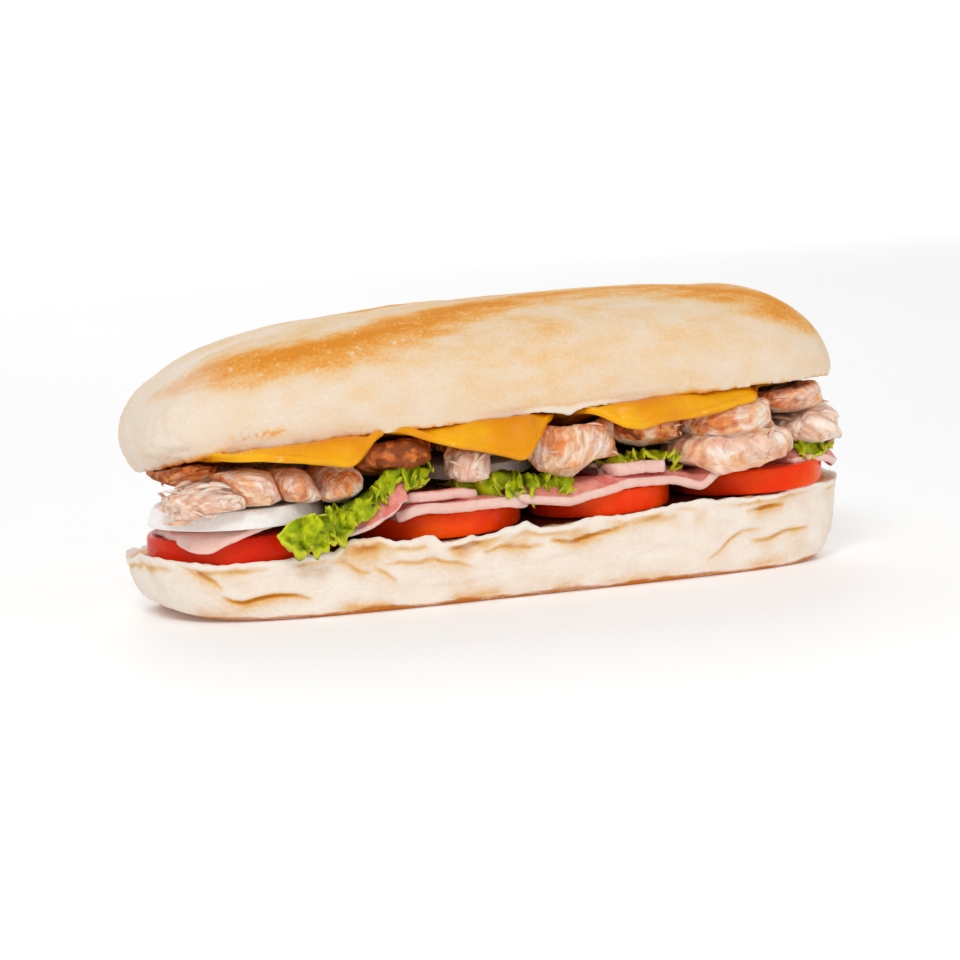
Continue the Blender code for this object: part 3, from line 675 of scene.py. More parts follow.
# The browned ridge: (x, degrees from the top towards the front) along it, its reach towards the
# crest and down the side in degrees, and how brown it is.
RIDGE = np.array([
    (-122, 24, 8, 14, 0.0), (-112, 28, 10, 17, 0.65), (-100, 33, 11, 18, 0.9), (-84, 37, 12, 17, 0.95),
    (-68, 38, 12, 16, 0.98), (-50, 34, 12, 17, 1.0), (-34, 29, 11, 18, 1.0), (-18, 21, 10, 19, 0.96),
    (0, 14, 10, 20, 0.92), (20, 8, 11, 21, 0.85), (40, 6, 13, 22, 0.74), (60, 8, 15, 25, 0.78),
    (80, 16, 18, 26, 0.88), (95, 24, 20, 25, 0.9), (106, 30, 22, 25, 0.8), (115, 38, 22, 26, 0.6),
    (124, 42, 22, 26, 0.3),
])


def ridge_browning(x, turn, seed, points):
    """How browned the crust is near the ridge, at angles turned from the top."""
    middle, inner, outer, strength = (np.interp(x, RIDGE[:, 0], RIDGE[:, i]) for i in range(1, 5))
    off = turn - middle + 3.5 * noise(points, (16, 7, 7), seed, 3)
    band = bell(off, np.where(off > 0, outer, inner), 2.4)
    glow = 0.4 * bell(off, 2.6 * outer) * (off > 0)
    return strength * np.maximum(band, glow)


def slashed(rings, x, y, level):
    """The floury slash over the crest and the lip in front of it, each from 0 to 1."""
    away, share = far_from_line(x, y + noise(rings, 7, 21, 2), SLASH)
    fade = ramp(share, 0.0, 0.12) * ramp(1 - share, 0.0, 0.25) * ramp(level, 0.45, 0.75)
    lip = fade * bell(away - 6.2, 1.5) * (y < np.interp(x, *np.array(SLASH).T))
    return fade * (1 - ramp(away, 4.0, 6.5)), lip


def dome_browning(rings, x, y, z):
    """How browned the dome is along its ridge in front, and along the same ridge behind."""
    turn = np.degrees(np.arctan2(-y, z - 50))
    behind = ridge_browning(np.clip(30 - x, -118, 118), -turn - 6, 36, rings)
    return np.maximum(ridge_browning(x, turn, 26, rings), 0.9 * behind)


def upper_roll():
    """The upper half: a domed crust, browned along a ridge in front of a long floury slash, pale
    down its sides, with a ragged edge round its cut."""
    rings, rows = upper_rings()
    rings = settled_on(rings, "roll_upper")
    level, inset = spread(rows, rings)
    cut = 1.0 * (inset > 0)
    x, y, z = (rings[..., i] / MM for i in range(3))
    slash, lip = slashed(rings, x, y, level)
    out = -1.9 * slash + 0.7 * lip + slash * 0.3 * noise(rings, 2.5, 27, 3)
    out += (noise(rings, 26, 22, 2) * 0.55 + noise(rings, 7, 23, 2) * 0.12) * (1 - slash)
    out += noise(rings, 1.6, 28, 2) * 0.035
    drop = level * 42 + inset / MM
    near_edge = bell(drop, 1.8)
    ragged = noise(rings, (7, 7, 60), 24, 3)
    nicks = ramp(noise(rings, (3, 3, 60), 29, 2), 0.25, 0.6)
    front_lip = bell(x - 12, 32, 4) * (y < 0)
    up = near_edge * (0.5 * ragged + 0.5 * nicks - 0.5 - front_lip * (0.6 - 0.7 * ragged))
    out += near_edge * (0.5 * noise(rings, (5, 5, 60), 25, 2) - 0.2)
    curl = bell(x + 116, 12) * (y < 10) * bell(drop - 4.5, 2.2)
    out += -0.4 * curl + 1.2 * ramp(-x, 104, 120) * np.sin(math.pi * np.clip(level, 0, 1)) * (1 - cut)
    over_lip = bell(drop - 2.1, 0.4) * front_lip * (inset == 0)
    flaky = bell(x + 90, 9, 4) * bell(drop - 5.5, 1.7) * (y < 0) * (inset == 0)
    out += 0.5 * flaky * noise(rings, 2.0, 33, 2) - 0.3 * over_lip
    out += 0.4 * noise(rings, (3, 3, 2), 34, 2) * ramp(-x, 102, 118) * (1 - cut)
    toasted = bell(drop, 0.8) * ramp(ragged + 0.6 * nicks, -0.1, 0.35) * (1 - front_lip)
    # Painted shade: orange-brown along the lower edge of the crust, at the left end and near x = 50 mm.
    edge_shade = (bell(x + 107, 9, 4) + 0.7 * bell(x - 50, 9, 4)) * bell(drop, 1.7) * (y < 0)
    browned = dome_browning(rings, x, y, z) * ramp(level, 0.3, 0.6) * (1 - 0.9 * slash) * (1 - 0.55 * lip)
    pale = 0.15 + 0.07 * noise(rings, 13, 32, 3) + 0.1 * ramp(z, 60, 85) + 0.1 * bell(x - 5, 60)
    browned = np.maximum(pale, browned) + 0.22 * over_lip + 0.1 * curl + 0.55 * toasted + 0.65 * edge_shade
    browned += 0.62 * flaky * ramp(noise(rings, 2.4, 30, 2), -0.15, 0.2)
    floury = slash + 0.4 * near_edge - toasted - 2 * edge_shade
    floury += 1.2 * front_lip * bell(drop, 1.4) + 0.5 * ramp(-x, 92, 112)
    # The crumb's darkening away from the edge is painted shade, where the fillings shade the cut.
    masks = {"browned": np.clip(browned, 0, 1.2), "baked_base": np.zeros(x.shape),
        "cut_face": cut * ramp(inset / MM, 0.5, 1.6), "gap_shade": cut * ramp(inset / MM, 4.0, 12.0),
        "floury": np.clip(floury, 0, 1)}
    return mesh_object("roll_upper_bread", pushed(rings, out, up, cut), ring_faces(*rings.shape[:2]), masks)


def bread_material(name, flour, pale, tan, golden, deep, crumb, speckle=1.0):
    """Soft bread: a pale matt crust that browns through tan and golden, flour in the slash, a baked base
    and open crumb where it is cut, painted dark brown further in from the rim as painted shade under the
    fillings."""
    made, graph = soft_material(name, 0.1, 0.003, (1.0, 0.6, 0.3), 0.12)
    streaks = mottle(graph, 170.0, 5.0, 0.3, 0.72, stretch=(0.45, 1, 1))
    specks = mottle(graph, 1000.0, 2.0, 0.36, 0.64)
    browned = graph.mask("browned")
    rough = streaks * 0.68 + specks * 0.32
    spread = graph.remap(browned, 0.1, 0.5) * (0.4 * speckle) + 0.14
    dots = mottle(graph, 520.0, 1.0, 0.64, 0.7) * 0.3 * graph.remap(browned, 0.4, 0.7)
    amount = graph.math("SUBTRACT", browned + (rough - 0.5) * spread, dots, clamp=True)
    browning = graph.node("ShaderNodeValToRGB", {0: amount})
    stops = browning.color_ramp.elements
    stops[0].color, stops[1].color = flour, deep
    for place, colour in ((0.14, pale), (0.4, tan), (0.72, golden)):
        stops.new(place).color = colour
    colour = graph.blend(graph.mask("floury") * 0.8, Value(graph, browning.outputs[0]), flour)
    baked = graph.mask("baked_base") * graph.remap(rough, 0.1, 0.6, 0.75, 1.0)
    colour = graph.blend(baked, colour, rgb(200, 118, 42))
    # painted shade: the crumb turns dark brown away from the rim of the cut
    inner = graph.blend(graph.mask("gap_shade"), crumb, rgb(104, 44, 14))
    colour = graph.blend(graph.mask("cut_face"), colour, inner)
    set_looks(graph, colour, 0.75, graph.group(GRAIN, scale=700.0, depth=0.0003, pits=0.4))
    return made


# ---------------------------------------------------------------- round slices

FACE_SHARE = 0.25  # of a slice's profile, for each of its faces
RIM_POWER = 0.4  # how square its rim is: 1 is round, towards 0 square


def slice_tree():
    """Geometry nodes for a round slice: a grid rolled up about its axis, with X round the rim and Y
    from the middle of the lower face over the rim to the middle of the upper face."""
    tree, graph = new_group("round_slice", [
        ("Geometry", "Geometry", None), ("Centre", "Vector", None), ("Half X", "Float", 0.025),
        ("Half Y", "Float", 0.025), ("Thickness", "Float", 0.009), ("Taper", "Float", 0.0),
        ("Slope X", "Float", 0.0), ("Slope Y", "Float", 0.0), ("Lobes", "Float", 0.02),
        ("Seed", "Float", 0.0), ("Material", "Material", None),
    ], ("Geometry", "Geometry"), "GeometryNodeTree")
    value = graph.inputs
    grid = graph.add("GeometryNodeMeshGrid", {"Size X": 1.0, "Size Y": 1.0, "Vertices X": 201,
        "Vertices Y": 61})
    across, upward = (graph.add("ShaderNodeSeparateXYZ", {0: graph.add("GeometryNodeInputPosition")}, axis)
        for axis in "XY")
    angle = (across + 0.5) * (2 * math.pi)
    profile = upward + 0.5
    on_face = graph.math("DIVIDE", graph.math("MINIMUM", profile, 1.0 - profile), FACE_SHARE, clamp=True)
    rim = graph.remap(profile, FACE_SHARE, 1 - FACE_SHARE, -math.pi / 2, math.pi / 2, smooth=False)

    def squared(wave):
        raised = graph.math("POWER", graph.math("ABSOLUTE", wave), RIM_POWER)
        return raised * graph.math("SIGN", wave)

    out = squared(graph.math("MAXIMUM", graph.math("COSINE", rim), 0.0))
    up = squared(graph.math("SINE", rim))
    cosine, sine = graph.math("COSINE", angle), graph.math("SINE", angle)
    turn = graph.add("ShaderNodeCombineXYZ", {0: cosine, 1: sine, 2: value["Seed"]})
    lobe_noise = graph.add("ShaderNodeTexNoise", {"Vector": turn, "Scale": 1.3, "Detail": 2.0}, "Fac")
    round_edge = value["Thickness"] * 0.2
    reach = (lobe_noise - 0.5) * value["Lobes"] + 1.0 + up * value["Taper"] * -0.5

    def radius(half):
        return ((half - round_edge) * on_face + round_edge * out) * reach

    x, y = radius(value["Half X"]) * cosine, radius(value["Half Y"]) * sine
    height = up * (value["Thickness"] * 0.5) + x * value["Slope X"] + y * value["Slope Y"]
    place = graph.add("ShaderNodeCombineXYZ", {0: x, 1: y, 2: height})
    bumpy = graph.add("ShaderNodeTexNoise", {"Vector": graph.vector("ADD", place, turn), "Scale": 160.0,
        "Detail": 3.0}, "Color")
    shift = graph.add("ShaderNodeVectorMath", {0: graph.vector("SUBTRACT", bumpy, (0.5, 0.5, 0.5)),
        "Scale": 0.3 * MM}, operation="SCALE")
    place = graph.vector("ADD", graph.vector("ADD", place, shift), value["Centre"])
    stored = grid
    for name, source in (("on_face", on_face), ("up", up), ("angle", angle)):
        stored = graph.add("GeometryNodeStoreNamedAttribute", {"Geometry": stored, "Name": name,
            "Value": source}, data_type="FLOAT", domain="POINT")
    moved = graph.add("GeometryNodeSetPosition", {"Geometry": stored, "Position": place})
    merged = graph.add("GeometryNodeMergeByDistance", {"Geometry": moved, "Distance": 1e-6})
    end_tree(graph, merged)
    return tree


def end_tree(graph, geometry):
    """Ends a tree with plain mesh in the tree's own material."""
    plain = graph.add("GeometryNodeRealizeInstances", {"Geometry": geometry})
    graph.feed(graph.end, graph.add("GeometryNodeSetMaterial", {"Geometry": plain,
        "Material": graph.inputs["Material"]}))


def from_tree(name, tree, inputs, carrier=None):
    """What a tree of geometry nodes makes of the carrier's mesh, as an object of its own."""
    made = linked(name, carrier.data if carrier else bpy.data.meshes.new(name))
    modifier = made.modifiers.new(name, "NODES")
    modifier.node_group = tree
    sockets = {item.name: item.identifier for item in tree.interface.items_tree
        if item.item_type == "SOCKET" and item.in_out == "INPUT"}
    for socket, value in inputs.items():
        modifier[sockets[socket]] = value
    applied(made).data.name = name
    return made


def joined(name, parts):
    """Several objects' meshes as one, under a new name."""
    made = merged_object(name, [part.data for part in parts])
    for part in parts:
        bpy.data.objects.remove(part)
    return made


def outward(made):
    """Turns every face of a closed mesh outwards."""
    bm = bmesh.new()
    bm.from_mesh(made.data)
    if bm.calc_volume(signed=True) < 0:
        bmesh.ops.reverse_faces(bm, faces=bm.faces)
    bm.to_mesh(made.data)
    bm.free()
    return made


OVER, BELOW = 0.2, -0.1  # heights clear of every solid


def plumb(tree, x, y):
    """The heights of a solid's top and underside here, or None beside it."""
    top = tree.ray_cast(Vector((x, y, OVER)), Vector((0, 0, -1)))[0]
    under = tree.ray_cast(Vector((x, y, BELOW)), Vector((0, 0, 1)))[0]
    return (top.z, under.z) if top and under else None


def lie_of(node):
    """Centre, half sizes, thickness and slopes of a solid that lies nearly flat."""
    low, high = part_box(node)
    tree = node_tree(node)
    centre = (low + high) / 2
    half = (high - low) / 2

    def middle(x, y):
        top, under = plumb(tree, x, y)
        return np.array([(top + under) / 2, top - under])

    away = 0.6
    right, left = (middle(centre.x + s * away * half.x, centre.y) for s in (1, -1))
    back, front = (middle(centre.x, centre.y + s * away * half.y) for s in (1, -1))
    height, thickness = (right + left + back + front) / 4
    slope_x = (right[0] - left[0]) / (2 * away * half.x)
    slope_y = (back[0] - front[0]) / (2 * away * half.y)
    return Vector((centre.x, centre.y, height)), half, thickness, slope_x, slope_y


def round_slice(node, material, seed, taper=0.0, shift=(0, 0, 0), wider=0.0, **looks):
    centre, half, thickness, slope_x, slope_y = lie_of(node)
    centre += Vector(shift) * MM
    half.x += wider * MM
    grown = 1 - abs(taper) / 2
    inputs = {"Centre": centre, "Half X": half.x * grown, "Half Y": half.y * grown,
        "Thickness": thickness, "Taper": taper, "Slope X": slope_x, "Slope Y": slope_y,
        "Seed": seed, "Material": material}
    inputs.update({name.replace("_", " ").title(): value for name, value in looks.items()})
    return outward(from_tree(node + "_cut", SLICE_TREE, inputs))


# ---------------------------------------------------------------- sheets

def scan_sheet(node, cell, samples=90):
    """The middle surface of a thin solid as a grid: columns a cell apart along X, rows from its
    front edge to its back edge."""
    low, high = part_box(node)
    tree = node_tree(node)
    columns = max(8, int((high.x - low.x) / cell))
    xs = np.linspace(low.x + 0.25 * MM, high.x - 0.25 * MM, columns)
    ys = np.linspace(low.y, high.y, int((high.y - low.y) / (0.5 * MM)))
    lines = []
    for x in xs:
        line = []
        for y in ys:
            faces = plumb(tree, x, y)
            if faces:
                line.append((x, y, sum(faces) / 2))
        if len(line) < 2:
            continue
        line = np.array(line)
        along = np.concatenate([[0], np.cumsum(np.hypot(np.diff(line[:, 1]), np.diff(line[:, 2])))])
        even = np.linspace(0, along[-1], samples)
        lines.append(np.column_stack([np.interp(even, along, line[:, i]) for i in range(3)]))
    return np.array(lines).transpose(1, 0, 2)


def smooth_grid(grid, reach):
    """A grid of points averaged over the reach in cells, with its rim kept where it is."""
    kernel = kernel_of(reach)
    for axis in (0, 1):
        ends = [(0, 0)] * grid.ndim
        ends[axis] = (2 * reach, 2 * reach)
        grown = np.pad(grid, ends, mode="reflect", reflect_type="odd")
        grid = np.apply_along_axis(np.convolve, axis, grown, kernel, mode="valid")
    return grid


def resample(grid, rows, columns):
    """The grid read at these shares of its rows and columns."""
    def read(values, shares, axis):
        spot = np.asarray(shares) * (values.shape[axis] - 1)
        low = np.minimum(spot.astype(int), values.shape[axis] - 2)
        part = (spot - low).reshape([-1 if a == axis else 1 for a in range(values.ndim)])
        return np.take(values, low, axis) * (1 - part) + np.take(values, low + 1, axis) * part
    return read(read(grid, rows, 0), columns, 1)


def fine_sheet(node, cell, reach=2):
    """The solid's middle surface as a fine smooth grid, closer along its rim."""
    middle = smooth_grid(scan_sheet(node, 1.0 * MM), reach)
    depth = np.linalg.norm(np.diff(middle[:, middle.shape[1] // 2], axis=0), axis=1).sum()
    width = np.linalg.norm(np.diff(middle[len(middle) // 2], axis=0), axis=1).sum()
    rows = edge_steps(depth, cell, 2.2 * cell)
    columns = edge_steps(width, cell, 1.4 * cell)
    return resample(middle, rows, columns)


# How the front of a sheet is bent from the way its solid lies: the change grows from nothing to
# full between two places along X (everywhere, where they are None), and fades over a reach from
# the front edge. Lengths are in millimetres: X where it starts, X where it is full, shift to the
# back, shift up, reach.
BENT = {
    "ham_slice_1": [(None, None, 0, -1.6, 16), (-112, -118, 0, 4, 16), (-108, -90, 1, 4.2, 16)],
    "ham_slice_4": [(None, None, -0.5, 0.4, 12)],
    "ham_slice_3": [(58, 66, 0, 2.6, 20), (68, 82, 8, -3.5, 25), (40, 20, 0, -1.2, 7)],
    "ham_slice_2": [(None, None, 0, 0.6, 10)], "ham_slice_6": [(None, None, 0, 0.8, 20)],
    "cheese_slice_1": [(-66, -51, 0, 5, 40), (-53, -47, 12, 2, 40), (-98, -110, 16, 1, 60)],
    "cheese_slice_2": [(-30, -50, 0, 3, 40), (-52, -57, 16, 2, 40), (9, 16, 12, 0, 40)],
    "cheese_slice_3": [(20, 12, 14, 0, 40), (38, 30, 0, 1.6, 20), (40, 60, 0, -3, 30), (78, 92, 16, 3, 40)],
}
# How far the front of a sheet hangs below its solid's edge, and how far the fold behind that edge
# stands above it.
HANGING = {
    "lettuce_leaf_1": (2.6, 5.5), "lettuce_leaf_2": (2.4, 3.0), "lettuce_leaf_3": (1.6, 2.4),
    "lettuce_leaf_4": (2.0, 3.0), "ham_slice_5": (2.6, 3.2), "ham_slice_7": (1.2, 1.6),
    "ham_slice_3": (0.3, 1.4), "ham_slice_2": (0.3, 0.8), "ham_slice_1": (0.2, 1.0),
}
HANGING_REACH = 8.0
CHEESE_UNDER_CUT = 1.3 * MM
CHEESE_REACH = (1.0, 7.5, 14.0, 22.0)


def from_front(middle):
    """How far each point of a sheet lies from its front edge, in millimetres."""
    return np.cumsum(np.linalg.norm(np.diff(middle, axis=0, prepend=middle[:1]), axis=2), axis=0) / MM


def bent_front(middle, node):
    away = from_front(middle)
    for start, full, back, up, reach in BENT.get(node, []):
        share = 1 if start is None else ramp((middle[..., 0] / MM - start) / (full - start), 0, 1)
        share = share * np.clip(1 - away / reach, 0, 1) ** 1.5
        middle[..., 1] += share * back * MM
        middle[..., 2] += share * up * MM
    down, up = HANGING.get(node, (0, 0))
    rise = (up + down) * ramp(away, 0, HANGING_REACH) - down
    forward = 0.6 * np.minimum(away, HANGING_REACH) * (down + up) / HANGING_REACH
    fade = 1 - ramp(away, 1.1 * HANGING_REACH, 2.6 * HANGING_REACH)
    middle[..., 1] -= forward * fade * MM
    middle[..., 2] += rise * fade * MM
    return middle


# How fast the pale rim of a ham slice ends inwards: below 1 it reaches far in.
HAM_FAT = {"ham_slice_1": 0.15, "ham_slice_4": 2.4, "ham_slice_5": 1.5, "ham_slice_7": 1.6}
HAM_THICKNESS = {"ham_slice_1": 1.8, "ham_slice_2": 3.4, "ham_slice_3": 3.0, "ham_slice_4": 3.4,
    "ham_slice_5": 1.8, "ham_slice_6": 4.2}  # in millimetres, where it is not the usual one
# Each kind of sheet: the size of its cells along the rim, its thickness and the radius of its rim,
# in millimetres.
HAM_SHEET, LETTUCE_SHEET, CHEESE_SHEET = (0.5, 2.5, 0.9), (0.36, 0.6, 0.35), (0.55, 2.4, 0.7)
LETTUCE_FOLD = 9.5 * MM  # from one fold of the frill to the next
LETTUCE_NOTCH = 4.5 * MM  # depth


def trimmed(middle, depth):
    """The sheet with its front edge cut back, by a depth for each column."""
    lengths = from_front(middle) * MM
    out = np.empty_like(middle)
    for column, along in enumerate(lengths.T):
        wanted = depth[column] + (along[-1] - depth[column]) * along / along[-1]
        for axis in range(3):
            out[:, column, axis] = np.interp(wanted, along, middle[:, column, axis])
    return out


def ham(node, seed):
    """A thick soft slice of ham with a rounded rim and a slow waviness."""
    cell, usual, rim = HAM_SHEET
    middle = bent_front(fine_sheet(node, cell * MM), node)
    thickness, inside = round_rim(middle, HAM_THICKNESS.get(node, usual) * MM, rim * MM)
    wave = noise(middle, (14, 9, 30), seed, 2) * 0.5 * MM
    middle = middle + sheet_normals(middle) * wave[..., None]
    middle[..., 1] += noise(middle, 6, seed + 5, 3) * 0.8 * MM * np.exp(-inside / (4 * MM))
    rough = 1 + 0.1 * noise(middle, 1.6, seed + 9, 2)
    inside *= HAM_FAT.get(node, 1) / MM
    return sheet_object(node + "_meat", middle, thickness * rough, {"inside": inside})


def lettuce(node, seed):
    """A lettuce leaf: thin, its front edge hanging and frilled in loose overlapping folds."""
    cell, thick, rim = LETTUCE_SHEET
    middle = bent_front(fine_sheet(node, cell * MM), node)
    notches = ramp(noise(middle[0], (5, 30, 30), seed + 11, 2), 0.05, 0.45)
    middle = trimmed(middle, notches * LETTUCE_NOTCH)
    thickness, inside = round_rim(middle, thick * MM, rim * MM)
    along = np.cumsum(np.linalg.norm(np.diff(middle, axis=1, prepend=middle[:, :1]), axis=2), axis=1)
    rows = from_front(middle)
    warp = noise(middle, (9, 16, 16), seed, 2)
    phase = 2 * math.pi * (along / LETTUCE_FOLD + 0.9 * warp)
    edge = np.exp(-inside / (7 * MM))
    frill = np.sin(phase) + 0.35 * np.sin(2.1 * phase + 5 * warp)
    strength = 0.75 + 0.5 * noise(middle, (13, 30, 30), seed + 3)
    curl = 1.2 * np.sin(2.7 * phase + 9 * warp) * np.exp(-inside / (2.4 * MM))
    blister = 0.5 * noise(middle, 3.4, seed + 7, 2) + 0.35 * noise(middle, 1.5, seed + 8, 2)
    normals = sheet_normals(smooth_grid(middle, 6))
    moved = middle + normals * ((2.3 * strength * frill * edge + curl + blister) * MM)[..., None]
    moved[..., 0] += 2.0 * MM * strength * np.cos(phase + 0.6) * edge
    lobes = 1.5 * np.sin(phase + 1.1) + 1.4 * noise(middle, 2.6, seed + 6, 2)
    moved[..., 2] += lobes * MM * np.exp(-rows / (3.5 * MM))
    # The darkening of the sunken side of the frill and of the dents is painted shade.
    fold_shade = np.clip(ramp(-frill * strength, 0.0, 0.9) * edge + 0.5 * ramp(-blister, 0.1, 0.5), 0, 1)
    return sheet_object(node + "_green", moved, thickness, {"inside": inside / MM, "fold_shade": fold_shade,
        "vein": np.abs(np.sin(phase / 2 + 1))})


def cheese(node, seed):
    """A slice of cheese: smooth, with rounded edges, its front hanging down from the cut above."""
    cell, thick, rim = CHEESE_SHEET
    middle = bent_front(fine_sheet(node, cell * MM), node)
    away = from_front(middle)
    start, full, hold, end = CHEESE_REACH
    gap = upper_cut(middle[..., 0], middle[..., 1]) - CHEESE_UNDER_CUT - middle[..., 2]
    middle[..., 2] += np.maximum(gap, 0) * ramp(away, start, full) * (1 - ramp(away, hold, end))
    thickness, inside = round_rim(middle, thick * MM, rim * MM)
    slump = noise(middle, (16, 10, 20), seed, 2) * 0.4 * MM
    middle = middle + sheet_normals(middle) * slump[..., None]
    # The shaded mask, darker further back from the front edge, is painted shade under the bread.
    return sheet_object(node + "_melted", middle, thickness, {"inside": inside / MM,
        "shaded": ramp(away + 1.5 * noise(middle, 9, seed + 4, 2), 2.5, 9)})


# ---------------------------------------------------------------- meat

def soft_mesh(name, node, voxel, passes):
    """A copy of a solid, merged, remeshed into even cells and smoothed."""
    made = merged_object(name, [NODES[node].data], 0.01 * MM)
    remesh = made.modifiers.new("remesh", "REMESH")
    remesh.mode, remesh.voxel_size = "VOXEL", voxel
    smooth = made.modifiers.new("smooth", "SMOOTH")
    smooth.factor, smooth.iterations = 0.5, passes
    return applied(made)


def read_points(mesh):
    points, normals = (np.empty(len(mesh.vertices) * 3, np.float32) for _ in range(2))
    mesh.vertices.foreach_get("co", points)
    mesh.vertex_normals.foreach_get("vector", normals)
    return points.reshape(-1, 3).astype(float), normals.reshape(-1, 3).astype(float)


# Each piece of meat: the turn of its fibres from X towards Z in degrees, how browned and how pale
# it is from 0 to 1, how deep its grooves are, how much fuller it is than its solid and how far it
# is lowered in millimetres, how thick its torn strands stand, which way its seared side faces, how
# far it leans to the right going down, and how much deeper it reaches at the bottom.
Meat = namedtuple("Meat", "turn browned pale depth fuller lowered strands seared_x seared_z lean deeper",
    defaults=(0.0, 0.0))
MEAT = {
    1: Meat(20, 0.8, 0.0, 0.5, 0.6, 0.1, 0.3, -0.1, 0.4),
    2: Meat(-12, 0.1, 1.0, 0.9, 0.9, 2.4, 1.6, -0.3, 0.1),
    3: Meat(-8, 0.1, 0.6, 0.2, 0.5, 2.0, 0.15, -0.4, 0.3, 0.35, 0.8),
    4: Meat(30, 0.15, 0.6, 0.25, 0.6, 1.4, 0.15, 0.3, 0.3, 0.5, 0.8),
    5: Meat(-50, 0.4, 0.5, 0.6, 0.4, 1.6, 0.7, 0.2, 0.6, -0.3),
    6: Meat(10, 1.25, 0.0, 0.6, 0.9, -3.2, 0.15, 0.2, 0.4, 0.0, 3.0),
    7: Meat(70, 0.25, 0.85, 0.9, 0.6, 0, 0.9, 0, 0.5),
    8: Meat(20, 0.65, 0.3, 0.5, 0.5, 0, 0.5, 0, 0.3),
    9: Meat(78, 0.3, 0.5, 0.35, 1.5, 0, 0.3, -0.5, 0.6),
    10: Meat(-30, 0.8, 0.3, 0.45, 0.8, 0, 0.5, 0, 0.6),
    11: Meat(12, 0.4, 0.5, 0.45, 1.1, 0, 0.4, -0.8, 0.3, 0.0, 1.6),
    12: Meat(-15, 0.05, 0.7, 0.38, 1.8, -1.3, 0.7, -0.1, 0.5, -0.35, 4.4),
    13: Meat(25, 0.45, 0.65, 0.6, 0.8, 0, 0.5, -0.6, 0.2),
    14: Meat(-25, 0.15, 0.9, 0.6, 1.0, 0, 1.3, -0.2, 0.2, 0.0, 1.0),
    15: Meat(60, 0.4, 0.5, 0.6, 0.6, 0, 0.9, -0.2, 0.4),
    19: Meat(70, 0.3, 0.6, 0.6, 1.6, 0, 0.9, -0.2, 0.4, 0.1, 4.5),
}
# The other pieces of the back row, in turn.
REAR_MEAT = [Meat(8, 0.35, 0.5, 0.5, 1.3, 0, 0.6, 0, 0.4, 0.25, 3.6),
    Meat(-25, 0.15, 0.8, 0.6, 0.7, 0, 0.9, 0, 0.3, -0.3, 1.5),
    Meat(35, 0.55, 0.3, 0.4, 1.2, 0, 0.5, 0.2, 0.3, 0.15, 3.0)]
MEAT_CELL = 0.6 * MM
BLOCKS = (3, 4, 6, 9, 10)  # pieces cut with a knife, with flat sides
# The piece at the left end of the back row is drawn in: towards this X by one share, and what lies
# behind this Y by the other.
LEFT_REAR, LEFT_REAR_X, LEFT_REAR_Y = 15, (-83 * MM, 0.6), (16 * MM, 0.45)


def standing_out(mesh, points, normals, passes=16):
    """How far each point stands out of the surface around it, in millimetres: over 0 along an
    edge and under 0 in a dent."""
    edges = np.empty(len(mesh.edges) * 2, np.int32)
    mesh.edges.foreach_get("vertices", edges)
    start, end = edges.reshape(-1, 2).T
    ends, others = np.concatenate([start, end]), np.concatenate([end, start])
    count = np.bincount(ends, minlength=len(points))
    level = points
    for _ in range(passes):
        sums = [np.bincount(ends, level[others, i], len(points)) for i in range(3)]
        level = np.stack(sums, axis=-1) / count[:, None]
    return ((points - level) * normals).sum(axis=1) / MM


def moved_as(meat, points, centre, seed):
    """Leans the piece, lowers it and draws its bottom down."""
    below = (points[:, 2].max() - points[:, 2]) / np.ptp(points[:, 2])
    points[:, 0] += meat.lean * (centre[2] - points[:, 2])
    points[:, 2] -= (meat.lowered + meat.deeper * below) * MM
    if seed == LEFT_REAR:
        (side, across), (front, depth) = LEFT_REAR_X, LEFT_REAR_Y
        points[:, 0] = side + across * (points[:, 0] - side)
        points[:, 1] = np.where(points[:, 1] > front, front + depth * (points[:, 1] - front), points[:, 1])


def browned_meat(meat, block, patches, towards, proud, normals):
    """How browned a piece is: in patches, on its seared side, along its edges and, where it is a
    block, on its cut sides, which are partly crust and partly painted shade of the gaps beside them.
    Past 1, for the most browned pieces, it is partly seared and partly painted shade."""
    brown = ramp(0.8 * patches + meat.browned * 1.6 - 0.85 + 0.7 * towards, -0.25, 0.5)
    # Past 1 the browning is partly searing and partly painted shade.
    brown += ramp(meat.browned + 0.3 * patches, 0.9, 1.5)
    brown += ((1.0 if block else 0.75) - 0.5 * meat.pale) * ramp(proud + 0.3 * patches, 0.3, 0.65)
    # Partly crust, partly painted shade: block sides facing along X darken like the gaps beside them.
    brown += 0.6 * block * ramp(np.abs(normals[:, 0]) + 0.15 * patches, 0.6, 0.9)
    return np.minimum(brown, 1.0 if meat.browned < 0.6 else 2.0)


